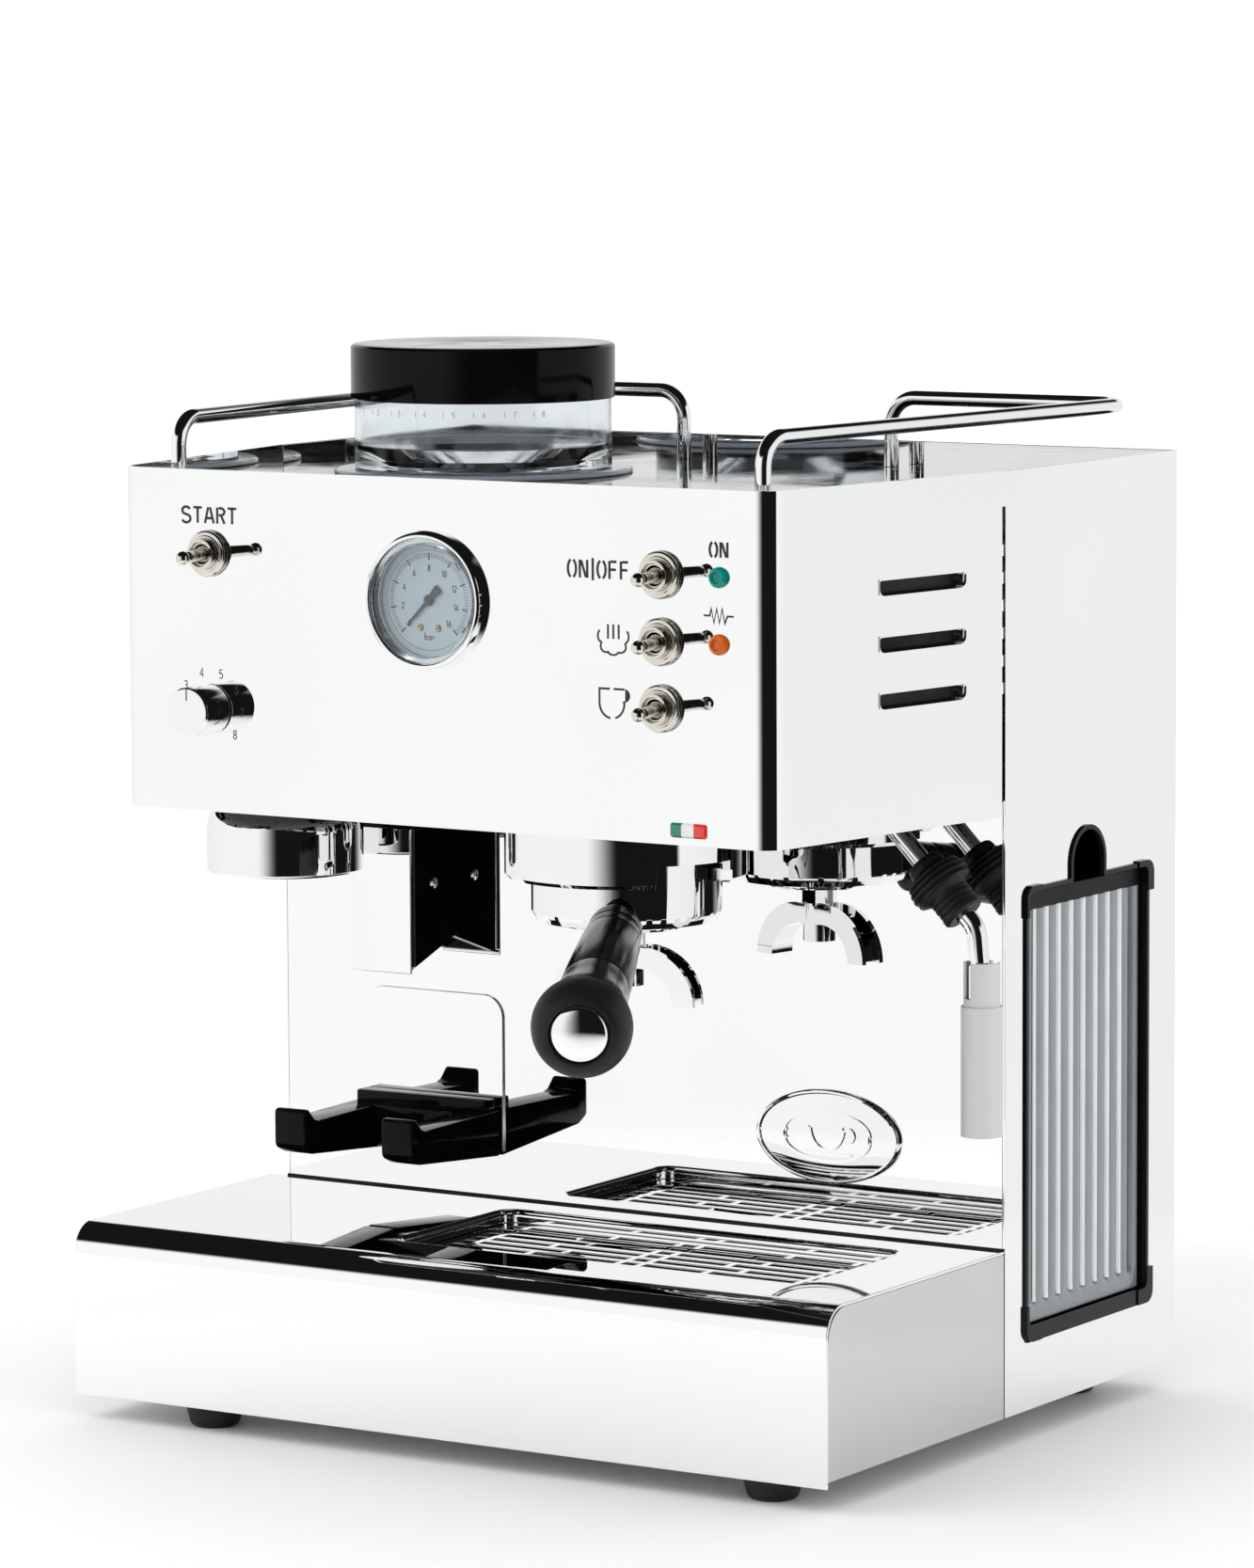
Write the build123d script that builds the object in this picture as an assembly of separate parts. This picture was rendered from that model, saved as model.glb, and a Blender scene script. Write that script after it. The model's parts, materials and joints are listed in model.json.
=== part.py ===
from build123d import *
import math
import os

# Espresso machine with built-in grinder.  Millimetres, +Z up.  Everything is drawn in a design frame
# whose X = 0 is the middle of the rear body, Y = 0 the splash panel and Z = 0 the lower edge of the
# base, and is then moved so that the origin is the middle of the footprint on the floor.

# ---- driving dimensions ------------------------------------------------------------------------
SHEET = 1.2                     # stainless sheet of all casings
BODY_HALF = 165.0               # half width of the rear body
BODY_BACK = 137.3               # outer face of the back panel
RIM_TOP = 359.2                 # top edge of the casing
BASE_LEFT = -173.6              # the base is wider than the body on the left only
BASE_FRONT = -132.1
DECK = 64.3                     # top of the base
DECK_EDGE_R = 11.5
BEND_GAP = 1.5
FRONT_HANG = 2.5                # the front plate hangs below the side plates
FLOOR_Z = (2.0, 3.2)            # floor plate

HEAD_FRONT = -135.4
HEAD_FRONT_HALF = 144.2         # the head narrows towards the front
HEAD_BOTTOM = 229.5
HEAD_CORNER_R = 10.0
UNDERSIDE_Z = (235.0, 236.2)
SLIT = 2.0                      # relief slit between head and body sides
SLIT_TOP = 346.0
TOP_PLATE_Z = (347.9, 349.4)

FOOT_H, FOOT_R_TOP, FOOT_R_BOTTOM = 12.0, 12.8, 9.8
FOOT_X, FOOT_Y = (-119.5, 132.0), (-115.0, 112.0)

WELL_X, WELL_Y, WELL_R = (-46.0, 131.0), (-96.0, -20.0), 5.0
GRILLE_TOP = 59.3
TRAY_FLOOR = 9.0

WINDOW_Y, WINDOW_Z, WINDOW_R = (15.8, 113.0), (28.0, 199.8), 3.0
NOTCH_Y, NOTCH_TOP = (51.1, 77.7), 219.1
TRIM_EDGE, CAP_REACH, CAP_LONG = 0.8, 3.6, 12.0  # width of the edging, reach and length of its corner caps
TANK_X, TANK_Y, TANK_Z = (60.0, 163.0), (17.2, 111.6), (33.0, 198.3)
TANK_WALL, TANK_LID_H, LID_CORNER_R = 2.4, 7.0, 3.4
FLUTES = 9

PANEL_Z_UP = 327.6              # upper row of switches and lamps
TOGGLE_PITCH = 24.3
TOGGLES = {
    "start": (-103.0, PANEL_Z_UP),
    "power": (98.0, PANEL_Z_UP),
    "steam": (98.0, PANEL_Z_UP - TOGGLE_PITCH),
    "coffee": (98.0, PANEL_Z_UP - 2 * TOGGLE_PITCH),
}
TOGGLE_TILT = 12.6              # lever angle from straight out, degrees
TOGGLE_PIVOT_Y = HEAD_FRONT - 2.1
LAMPS = {"power": (122.6, PANEL_Z_UP), "heater": (122.6, PANEL_Z_UP - TOGGLE_PITCH)}
LAMP_R = 3.9
GAUGE_X, GAUGE_Z, GAUGE_R = -3.7, 314.0, 26.0
KNOB_X, KNOB_Z, KNOB_R, KNOB_LEN = -103.0, 268.5, 9.5, 15.0

GROUP_X, GROUP_Y = 42.0, -71.0
BELL_R, BELL_BOTTOM = 46.0, 207.5
SKIRT_NOTCH = (-44.0, 45.0, 8.5)  # start, sweep and height of the two openings in its skirt
HOLDER_R, HOLDER_BOTTOM, HOLDER_TOP = 36.0, 190.0, 222.0
EAR_R, EAR_Z, EAR_SPREAD = 41.0, (213.0, 218.0), 24.0
HANDLE_AZIMUTH = 26.5           # handle direction from straight out, towards +X
HANDLE_DROOP = 9.0
HANDLE_LEN = 172.0              # group axis to the end of the handle
HANDLE_Z = 199.0
SPOUT_AZIMUTH = 12.2            # line through the two spouts, from +X
SPOUT_TIP_Z, SPOUT_REACH, SPOUT_R = 159.0, 24.3, 18.0

HOPPER_X, HOPPER_Y = -84.0, 24.0
BIN_R, LID_R, COLLAR_R = 50.8, 51.9, 59.0
BIN_Z, LID_BOTTOM, LID_TOP = (351.8, 386.0), 379.0, 400.6
NECK_R = 28.0
MOTOR_Z, MOTOR_R = (238.0, 295.0), 37.0
HOUSING_Z, HOUSING_R = (296.0, 341.0), 44.0
BURR_R, SHAFT_R = 29.0, 5.0

CHUTE_X, CHUTE_FRONT, CHUTE_BOTTOM = (-110.4, -82.7), -32.0, 156.8
CHUTE_RISE = 10.5               # lower edge climbs this much towards the splash panel
CHUTE_PLATE_TOP = 213.0

FORK_X, FORK_ARM, FORK_TIP_Y = (-127.0, -62.0), 14.5, -63.0
FORK_TOP, FORK_LOW_TIP, FORK_LOW_BACK = 98.5, 86.5, 81.0
TAMPER_X, TAMPER_Y, TAMPER_R, TAMPER_BOTTOM = -111.7, -75.2, 30.4, 200.0

WAND_X, WAND_Y, WAND_R = 124.0, -20.0, 3.8
WAND_ELBOW, WAND_KNEE, WAND_END_Z = (124.0, 230.0), (163.8, 189.5), 166.0
SLEEVE_R, SLEEVE_Z = 7.9, (111.5, 166.5)
SLEEVE_TOP = 177.0

RAIL_R, RAIL_Z, RAIL_BEND = 3.0, 377.0, 11.0
RAIL_FRONT, RAIL_REAR = (130.0, -117.0), (149.0, 126.0)
RAIL_POST_X = {"left": -54.0, "right": 43.0}

FIT = 0.3                       # gap between pieces that move past each other


# ---- small builders ----------------------------------------------------------------------------
def block(x, y, z):
    """A box from three (low, high) pairs."""
    size = [span[1] - span[0] for span in (x, y, z)]
    middle = [(span[1] + span[0]) / 2 for span in (x, y, z)]
    return Pos(*middle) * Box(*size)


def rod_z(x, y, z, radius):
    """An upright cylinder between z = (low, high)."""
    return Pos(x, y, (z[0] + z[1]) / 2) * Cylinder(radius, z[1] - z[0])


def rod_y(x, z, y, radius):
    """A cylinder along Y between y = (front, back)."""
    return Pos(x, (y[0] + y[1]) / 2, z) * Rot(90, 0, 0) * Cylinder(radius, y[1] - y[0])


def rod_x(y, z, x, radius):
    """A cylinder along X between x = (left, right)."""
    return Pos((x[0] + x[1]) / 2, y, z) * Rot(0, 90, 0) * Cylinder(radius, x[1] - x[0])


def turned(points):
    """A solid of revolution about Z from (radius, z) points, closed in the order given."""
    outline = Polyline(*[(r, 0, z) for r, z in points], close=True)
    return revolve(make_face(outline), Axis.Z)


def turned_y(x, z, points):
    """A solid of revolution about the Y line through (x, z), from (radius, y) points."""
    return Pos(x, 0, z) * Rot(-90, 0, 0) * turned(points)


def slab(x, y, z, radius):
    """A flat block with rounded upright corners."""
    plan = Pos((x[0] + x[1]) / 2, (y[0] + y[1]) / 2, z[0]) * RectangleRounded(x[1] - x[0], y[1] - y[0], radius)
    return extrude(plan, z[1] - z[0])


def window(y, z, x, radius):
    """A rounded block that cuts a window through a side panel."""
    outline = Pos(x[0], (y[0] + y[1]) / 2, (z[0] + z[1]) / 2) * Rot(0, 90, 0)
    return extrude(outline * RectangleRounded(z[1] - z[0], y[1] - y[0], radius), x[1] - x[0])


def group(parts):
    """Several separate solids kept as one node."""
    return Compound(children=[solid for part in parts for solid in part.solids()])


# ---- base --------------------------------------------------------------------------------------
def base_shell():
    """Front plate and deck in one bent sheet, with the drawn well for the drip tray."""
    x = (BASE_LEFT, BODY_HALF)
    outer = block(x, (BASE_FRONT, 0), (-FRONT_HANG, DECK))
    edge = outer.edges().filter_by(Axis.X).group_by(Axis.Z)[-1].sort_by(Axis.Y)[0]
    outer = fillet(edge, DECK_EDGE_R)
    inner = block(x, (BASE_FRONT + SHEET, 0), (-FRONT_HANG, DECK - SHEET))
    edge = inner.edges().filter_by(Axis.X).group_by(Axis.Z)[-1].sort_by(Axis.Y)[0]
    inner = fillet(edge, DECK_EDGE_R - SHEET)
    rim = slab((WELL_X[0] - 4, WELL_X[1] + 4), (WELL_Y[0] - 4, WELL_Y[1] + 4), (DECK - 5.5, DECK), WELL_R + 4)
    hole = slab(WELL_X, WELL_Y, (DECK - 8, DECK + 1), WELL_R)
    shell = outer - inner + rim - hole
    lip = [e for e in shell.edges() if abs(e.center().Z - DECK) < 0.01
           and WELL_X[0] - 1 < e.center().X < WELL_X[1] + 1 and WELL_Y[0] - 1 < e.center().Y < WELL_Y[1] + 1]
    return fillet(lip, 3.0)


def base_sides():
    """The two side plates of the base, a little clear of the bend; the left one turns in behind to meet the body."""
    y, z = (BASE_FRONT + SHEET, 0), (0, DECK - SHEET)
    nose = DECK_EDGE_R - SHEET + BEND_GAP
    plates = []
    for low in (BASE_LEFT, BODY_HALF - SHEET):
        plate = block((low, low + SHEET), y, z)
        corner = plate.edges().filter_by(Axis.X).group_by(Axis.Z)[-1].sort_by(Axis.Y)[0]
        plates.append(fillet(corner, nose))
    plates[0] += block((BASE_LEFT, -BODY_HALF), (-SHEET, 0), z)
    return group(plates)


def base_floor():
    """Floor plate under the base and the body."""
    front = block((BASE_LEFT + SHEET, BODY_HALF - SHEET), (BASE_FRONT + SHEET, -SHEET), FLOOR_Z)
    rear = block((-BODY_HALF + SHEET, BODY_HALF - SHEET), (-SHEET, BODY_BACK - SHEET), FLOOR_Z)
    return front + rear


def feet():
    """Four rubber feet."""
    foot = turned([(0, -FOOT_H), (FOOT_R_BOTTOM - 2, -FOOT_H), (FOOT_R_BOTTOM - 0.6, -FOOT_H + 0.6),
                   (FOOT_R_BOTTOM, -FOOT_H + 2), (FOOT_R_TOP, FLOOR_Z[0]), (0, FLOOR_Z[0])])
    return group([Pos(x, y, 0) * foot for x in FOOT_X for y in FOOT_Y])


def drip_tray():
    """Steel tray that lifts out of the well."""
    gap = 1.0
    x, y = (WELL_X[0] + gap, WELL_X[1] - gap), (WELL_Y[0] + gap, WELL_Y[1] - gap)
    top = GRILLE_TOP - SHEET
    outer = slab(x, y, (TRAY_FLOOR, top), WELL_R - gap)
    inner = slab((x[0] + 1, x[1] - 1), (y[0] + 1, y[1] - 1), (TRAY_FLOOR + 1, top), WELL_R - gap - 1)
    return outer - inner


GRILLE_X = (WELL_X[0] + 1.0, WELL_X[1] - 1.0)
GRILLE_Y = (WELL_Y[0] + 1.0, WELL_Y[1] - 1.0)
SLOT_ROWS, SLOT_W, SLOT_END, BRIDGE, SHORT_SLOT, STAGGER = 8, 5.0, 5.5, 3.2, 6.0, 5.5


def drip_grille():
    """Punched plate: rows of long slots with staggered bridges and short slots at ends and middle."""
    plate = slab(GRILLE_X, GRILLE_Y, (GRILLE_TOP - SHEET, GRILLE_TOP), WELL_R - 1)
    pitch = (GRILLE_Y[1] - GRILLE_Y[0] - 6) / SLOT_ROWS
    middle = (GRILLE_X[0] + GRILLE_X[1]) / 2
    span = (GRILLE_X[1] - GRILLE_X[0]) / 2 - SLOT_END
    slots = []
    for row in range(SLOT_ROWS):
        y = GRILLE_Y[0] + 3 + pitch * (row + 0.5)
        shift = STAGGER if row % 2 else -STAGGER
        for side in (-1, 1):
            start = SHORT_SLOT / 2 + BRIDGE
            stop = span - SHORT_SLOT - BRIDGE
            split = (start + stop) / 2 + shift * side
            for low, high in ((start, split - BRIDGE / 2), (split + BRIDGE / 2, stop), (stop + BRIDGE, span)):
                ends = sorted((middle + side * low, middle + side * high))
                slots.append(block(ends, (y - SLOT_W / 2, y + SLOT_W / 2), (GRILLE_TOP - 3, GRILLE_TOP + 1)))
        half = SHORT_SLOT / 2
        slots.append(block((middle - half, middle + half), (y - SLOT_W / 2, y + SLOT_W / 2),
                           (GRILLE_TOP - 3, GRILLE_TOP + 1)))
    return plate - slots


# ---- body --------------------------------------------------------------------------------------
def side_panel_left():
    return block((-BODY_HALF, -BODY_HALF + SHEET), (0, BODY_BACK), (0, RIM_TOP))


def window_cut(x, grow=0.0):
    """Window with the arched finger notch above it, grown or shrunk by grow."""
    y = (WINDOW_Y[0] - grow, WINDOW_Y[1] + grow)
    z = (WINDOW_Z[0] - grow, WINDOW_Z[1] + grow)
    arch_r = (NOTCH_Y[1] - NOTCH_Y[0]) / 2 + grow
    arch_y = (NOTCH_Y[1] + NOTCH_Y[0]) / 2
    arch_z = NOTCH_TOP + grow - arch_r
    opening = window(y, z, x, WINDOW_R + grow)
    opening += block(x, (arch_y - arch_r, arch_y + arch_r), (z[1] - 5, arch_z))
    return opening + rod_x(arch_y, arch_z, x, arch_r)


def side_panel_right():
    """Side panel with the window for the water tank."""
    panel = block((BODY_HALF - SHEET, BODY_HALF), (0, BODY_BACK), (0, RIM_TOP))
    return panel - window_cut((BODY_HALF - 5, BODY_HALF + 5))


INLET_X, INLET_Z = -112.0, 42.0
INLET_CUT = (28.0, 22.0)


def back_panel():
    """Back panel with vent slots and the cut-out for the mains inlet."""
    x = (-BODY_HALF + SHEET, BODY_HALF - SHEET)
    panel = block(x, (BODY_BACK - SHEET, BODY_BACK), (0, RIM_TOP))
    cuts = [block((INLET_X - INLET_CUT[0] / 2, INLET_X + INLET_CUT[0] / 2), (BODY_BACK - 5, BODY_BACK + 5),
                  (INLET_Z - INLET_CUT[1] / 2, INLET_Z + INLET_CUT[1] / 2))]
    for column in (-75.0, 0.0, 75.0):
        for row in range(6):
            z = 262.0 + row * 11.0
            slot = block((column - 25, column + 25), (BODY_BACK - 5, BODY_BACK + 5), (z - 2.2, z + 2.2))
            cuts.append(slot)
    return panel - cuts


def splash_panel():
    """Mirror panel behind the cup bay."""
    return block((-BODY_HALF + SHEET, BODY_HALF - SHEET), (0, SHEET), (DECK, UNDERSIDE_Z[0]))


HEAD_SLOPE = math.atan2(BODY_HALF - HEAD_FRONT_HALF, -HEAD_FRONT)


def head_half(y):
    """Half width of the head's outer face at depth y."""
    return BODY_HALF - (BODY_HALF - HEAD_FRONT_HALF) * y / HEAD_FRONT


def head_plan(inset, y_back, z):
    """Plan of the head, inset from the outer face, from its front to y_back."""
    front = HEAD_FRONT + inset
    trim = inset / math.cos(HEAD_SLOPE)
    near, far = head_half(front) - trim, head_half(y_back) - trim
    plan = make_face(Polyline((-far, y_back, z), (-near, front, z), (near, front, z), (far, y_back, z),
                              close=True))
    return fillet(plan.vertices().group_by(Axis.Y)[0], max(HEAD_CORNER_R - inset, 1.0))


LOUVRE_Z = (320.2, 299.3, 278.5)
LOUVRE_Y = (-74.4, -23.2)
LOUVRE_HALF, LOUVRE_R = 3.3, 3.0


def louvre_cut(z):
    """A vent slot in the right side of the head: square upper corners, round lower ones."""
    x = (head_half(-49) - 12, head_half(-49) + 12)
    span = (z - LOUVRE_HALF, z + LOUVRE_HALF)
    return window(LOUVRE_Y, span, x, LOUVRE_R) + block(x, LOUVRE_Y, (z, span[1]))


def head_casing():
    """Front and slanted sides of the head, one bent sheet."""
    height = RIM_TOP - HEAD_BOTTOM
    casing = extrude(head_plan(0, 0, HEAD_BOTTOM), height, dir=(0, 0, 1))
    casing -= extrude(head_plan(SHEET, 5, HEAD_BOTTOM - 1), height + 2, dir=(0, 0, 1))
    cuts = []
    for side in (-1, 1):
        x = sorted((side * (BODY_HALF - 6), side * (BODY_HALF + 6)))
        cuts.append(block(x, (-SLIT, 1), (HEAD_BOTTOM - 1, SLIT_TOP)))
    y = (HEAD_FRONT - 3, HEAD_FRONT + 5)
    cuts.append(rod_y(GAUGE_X, GAUGE_Z, y, 22.3))
    cuts.append(rod_y(KNOB_X, KNOB_Z, y, 4.2))
    cuts += [rod_y(x, z, y, 6.1) for x, z in TOGGLES.values()]
    cuts += [rod_y(x, z, y, 3.2) for x, z in LAMPS.values()]
    cuts += [louvre_cut(z) for z in LOUVRE_Z]
    return casing - cuts


def head_underside():
    """Plate that closes the head from below and carries the group, tamper, chute and wand."""
    plate = extrude(head_plan(SHEET, -0.05, UNDERSIDE_Z[0]), SHEET, dir=(0, 0, 1))
    z = (UNDERSIDE_Z[0] - 2, UNDERSIDE_Z[1] + 2)
    cuts = [rod_z(GROUP_X, GROUP_Y, z, BELL_R + 0.1), rod_z(TAMPER_X, TAMPER_Y, z, 8.1),
            rod_z(WAND_X, WAND_Y, z, 7.1)]
    cuts.append(block((CHUTE_X[0] - 0.1, CHUTE_X[1] + 0.1), (CHUTE_FRONT - 0.1, 1), z))
    return plate - cuts


def top_plate():
    """Recessed cup-warming plate with the hole for the grinder neck."""
    plate = extrude(head_plan(SHEET, 0, TOP_PLATE_Z[0]), TOP_PLATE_Z[1] - TOP_PLATE_Z[0], dir=(0, 0, 1))
    plate += block((-BODY_HALF + SHEET, BODY_HALF - SHEET), (0, BODY_BACK - SHEET), TOP_PLATE_Z)
    return plate - rod_z(HOPPER_X, HOPPER_Y, (TOP_PLATE_Z[0] - 1, TOP_PLATE_Z[1] + 1), NECK_R + 14)


def cup_rail(side, post_x):
    """One bent rod: front post, side run, rear run and rear post."""
    front, rear = (side * RAIL_FRONT[0], RAIL_FRONT[1]), (side * RAIL_REAR[0], RAIL_REAR[1])
    foot = TOP_PLATE_Z[1]
    path = FilletPolyline((*front, foot), (*front, RAIL_Z), (*rear, RAIL_Z), (post_x, rear[1], RAIL_Z),
                          (post_x, rear[1], foot), radius=RAIL_BEND)
    return sweep(Plane(path @ 0, z_dir=path % 0) * Circle(RAIL_R), path=path)


def cup_rails():
    return group([cup_rail(-1, RAIL_POST_X["left"]), cup_rail(1, RAIL_POST_X["right"])])


def mains_inlet():
    """Socket for the mains lead, with a flange on the back panel."""
    half_w, half_h = INLET_CUT[0] / 2, INLET_CUT[1] / 2
    flange = block((INLET_X - half_w - 9, INLET_X + half_w + 9), (BODY_BACK, BODY_BACK + 2),
                   (INLET_Z - half_h - 2, INLET_Z + half_h + 2))
    body = block((INLET_X - half_w + 0.1, INLET_X + half_w - 0.1), (BODY_BACK - 24, BODY_BACK),
                 (INLET_Z - half_h + 0.1, INLET_Z + half_h - 0.1))
    recess = block((INLET_X - half_w + 3, INLET_X + half_w - 3), (BODY_BACK - 16, BODY_BACK + 3),
                   (INLET_Z - half_h + 3, INLET_Z + half_h - 3))
    pins = [block((INLET_X + dx - 1, INLET_X + dx + 1), (BODY_BACK - 16, BODY_BACK - 2),
                  (INLET_Z + dz - 2.5, INLET_Z + dz + 2.5)) for dx, dz in ((-6.5, -1.5), (0, 1.5), (6.5, -1.5))]
    return flange + body - recess + pins


# ---- water tank --------------------------------------------------------------------------------
HOUSING_GAP = 1.2


def tank_housing():
    """Black box behind the window that the tank slides into."""
    y = (TANK_Y[0] - HOUSING_GAP, TANK_Y[1] + HOUSING_GAP)
    z = (TANK_Z[0] - HOUSING_GAP, NOTCH_TOP + 2)
    x = (TANK_X[0] - 2, BODY_HALF - SHEET)
    outer = block((x[0] - 1.6, x[1]), (y[0] - 1.6, y[1] + 1.6), (z[0] - 1.6, z[1] + 1.6))
    return outer - block((x[0], x[1] + 1), y, z)


def window_trim():
    """Black edging round the window and its notch, with a deeper sill and four raised corner caps."""
    proud = window_cut((BODY_HALF, BODY_HALF + 0.9), TRIM_EDGE) - window_cut((BODY_HALF - 1, BODY_HALF + 2), -1.0)
    lining = (window_cut((BODY_HALF - SHEET + 0.1, BODY_HALF), -0.1)
              - window_cut((BODY_HALF - 6, BODY_HALF + 1), -1.0))
    foot, sill_top = WINDOW_Z[0] - 1.6, TANK_Z[0] - 0.5
    sill = block((BODY_HALF, BODY_HALF + 0.9), (WINDOW_Y[0] + 1, WINDOW_Y[1] - 1), (foot, sill_top))
    x, top = (BODY_HALF, BODY_HALF + 1.5), WINDOW_Z[1] + 1.4
    y = (WINDOW_Y[0] - TRIM_EDGE, WINDOW_Y[1] + CAP_REACH)
    caps = window(y, (foot, top), x, 5.0)
    caps -= window((WINDOW_Y[0] + 1, WINDOW_Y[1] - 1), (sill_top, WINDOW_Z[1] - 1), (x[0] - 1, x[1] + 1), 3.0)
    corners = [block(x, y_span, z_span)
               for y_span in ((y[0], y[0] + CAP_LONG), (y[1] - CAP_LONG, y[1]))
               for z_span in ((foot, foot + CAP_LONG + 2), (top - CAP_LONG, top))]
    return proud + lining + sill + (caps & group(corners))


def water_tank():
    """Clear fluted tank, open at the top."""
    z = (TANK_Z[0], TANK_Z[1] - TANK_LID_H)
    outer = window(TANK_Y, z, TANK_X, 3.0)
    inner = block((TANK_X[0] + TANK_WALL, TANK_X[1] - TANK_WALL), (TANK_Y[0] + TANK_WALL, TANK_Y[1] - TANK_WALL),
                  (z[0] + TANK_WALL, z[1] + 1))
    tank = outer - inner
    pitch = (TANK_Y[1] - TANK_Y[0] - 8) / FLUTES
    for index in range(FLUTES + 1):
        y = TANK_Y[0] + 4 + pitch * index
        tank -= rod_z(TANK_X[1] + 0.6, y, (z[0] + 7, z[1] - 4), 1.7)
    return tank


def tank_lid():
    """Black lid with a finger lip at the window."""
    z = (TANK_Z[1] - TANK_LID_H, TANK_Z[1])
    lid = block(TANK_X, TANK_Y, z)
    lid = fillet(lid.edges().filter_by(Axis.X).group_by(Axis.Z)[-1], LID_CORNER_R)
    inside = block((TANK_X[0] + 2, TANK_X[1] - 2), (TANK_Y[0] + 2, TANK_Y[1] - 2), (z[0], z[1] - 2))
    notch_mid = (NOTCH_Y[0] + NOTCH_Y[1]) / 2
    dip = block((TANK_X[1] - 14, TANK_X[1] - 3), (notch_mid - 13, notch_mid + 13), (z[1] - 1.2, z[1] + 1))
    return lid - inside - dip


# ---- control panel -----------------------------------------------------------------------------
GAUGE_FACE = HEAD_FRONT + 1.4   # plane of the printed dial


def gauge_bezel():
    """Chrome bezel in one piece with the case behind the panel."""
    y = HEAD_FRONT
    return turned_y(GAUGE_X, GAUGE_Z, [(23.1, y), (GAUGE_R, y), (GAUGE_R, y - 2.2), (GAUGE_R - 0.5, y - 3.8),
                                       (GAUGE_R - 1.5, y - 4.8), (GAUGE_R - 2.6, y - 4.4), (23.1, y - 3.4)]) \
        + turned_y(GAUGE_X, GAUGE_Z, [(21.2, y - 0.6), (23.1, y - 0.6), (23.1, y), (22.1, y), (22.1, y + 20),
                                      (0, y + 20), (0, y + 18.8), (20.9, y + 18.8), (20.9, y + 2.2),
                                      (21.2, y + 2.2)])


def gauge_dial():
    """Printed dial plate."""
    disc = rod_y(GAUGE_X, GAUGE_Z, (GAUGE_FACE, GAUGE_FACE + 0.7), 21.1)
    return disc - rod_y(GAUGE_X, GAUGE_Z, (GAUGE_FACE - 1, GAUGE_FACE + 2), 0.95)


NEEDLE_ANGLE = 225.0            # direction of the pointer at rest, seen from the front


def gauge_needle():
    """Pointer with its tail and hub, resting at zero."""
    y = (GAUGE_FACE - 1.0, GAUGE_FACE - 0.4)
    hub = rod_y(0, 0, y, 2.1) + rod_y(0, 0, (GAUGE_FACE - 1, GAUGE_FACE + 6), 0.85)
    pointer = extrude(make_face(Polyline((0, y[0], -1.1), (13.5, y[0], -0.45), (13.5, y[0], 0.45), (0, y[0], 1.1),
                                         close=True)), y[1] - y[0], dir=(0, 1, 0))
    tail = extrude(make_face(Polyline((0, y[0], -1.1), (-6.5, y[0], -1.5), (-6.5, y[0], 1.5), (0, y[0], 1.1),
                                      close=True)), y[1] - y[0], dir=(0, 1, 0))
    needle = hub + pointer + tail
    return Pos(GAUGE_X, 0, GAUGE_Z) * Rot(0, -NEEDLE_ANGLE, 0) * needle


def gauge_lens():
    """Clear cover with its stepped edge."""
    y = HEAD_FRONT
    return turned_y(GAUGE_X, GAUGE_Z, [(0, y - 3.0), (0, y - 4.2), (20.6, y - 4.2), (21.4, y - 3.4),
                                       (23.0, y - 3.4), (23.0, y - 0.7), (21.3, y - 0.7), (21.3, y - 2.2),
                                       (20.6, y - 3.0)])


def switch_bodies():
    """What stands behind the front panel: four switches with their bushings, and the dose timer."""
    pieces = []
    for x, z in TOGGLES.values():
        bore = rod_y(x, z, (HEAD_FRONT - 8, HEAD_FRONT + 4), 4.7)
        bushing = rod_y(x, z, (HEAD_FRONT - 6.4, HEAD_FRONT + 3), 5.9)
        body = block((x - 7, x + 7), (HEAD_FRONT + SHEET, HEAD_FRONT + 24), (z - 10, z + 10))
        pieces.append(body + bushing - bore)
    timer = rod_y(KNOB_X, KNOB_Z, (HEAD_FRONT + SHEET, HEAD_FRONT + 14), 12) \
        + rod_y(KNOB_X, KNOB_Z, (HEAD_FRONT - 0.4, HEAD_FRONT + 2), 4.1)
    pieces.append(timer - rod_y(KNOB_X, KNOB_Z, (HEAD_FRONT - 2, HEAD_FRONT + 9), 3.05))
    return group(pieces)


def toggle_nuts():
    """Ring nuts that clamp the switches to the panel."""
    nuts = []
    for x, z in TOGGLES.values():
        y = HEAD_FRONT
        ring = turned_y(x, z, [(5.95, y), (8.8, y), (8.8, y - 1.4), (8.3, y - 1.9), (6.9, y - 1.9), (6.7, y - 3.1),
                               (5.95, y - 3.1)])
        nuts.append(ring)
    return group(nuts)


def lever(x, z):
    """Toggle lever: ball, tapered shank and rounded end, thrown to the right."""
    shape = turned([(0, -4.0), (1.8, -3.6), (3.3, -2.3), (4.1, 0), (3.3, 2.3), (2.0, 3.6), (2.3, 14), (2.9, 20.6),
                    (2.9, 22), (2.2, 23.6), (1.2, 24.4), (0, 24.6)])
    shape = Rot(90, 0, 0) * shape
    return Pos(x, TOGGLE_PIVOT_Y, z) * Rot(0, 0, TOGGLE_TILT) * shape


def lamp(x, z):
    """Domed signal lamp through the panel."""
    y = HEAD_FRONT
    return turned_y(x, z, [(0, y - 2.6), (1.6, y - 2.4), (3.0, y - 1.6), (LAMP_R, y - 0.6), (LAMP_R, y), (3.1, y),
                           (3.1, y + 9), (0, y + 9)])


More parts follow.
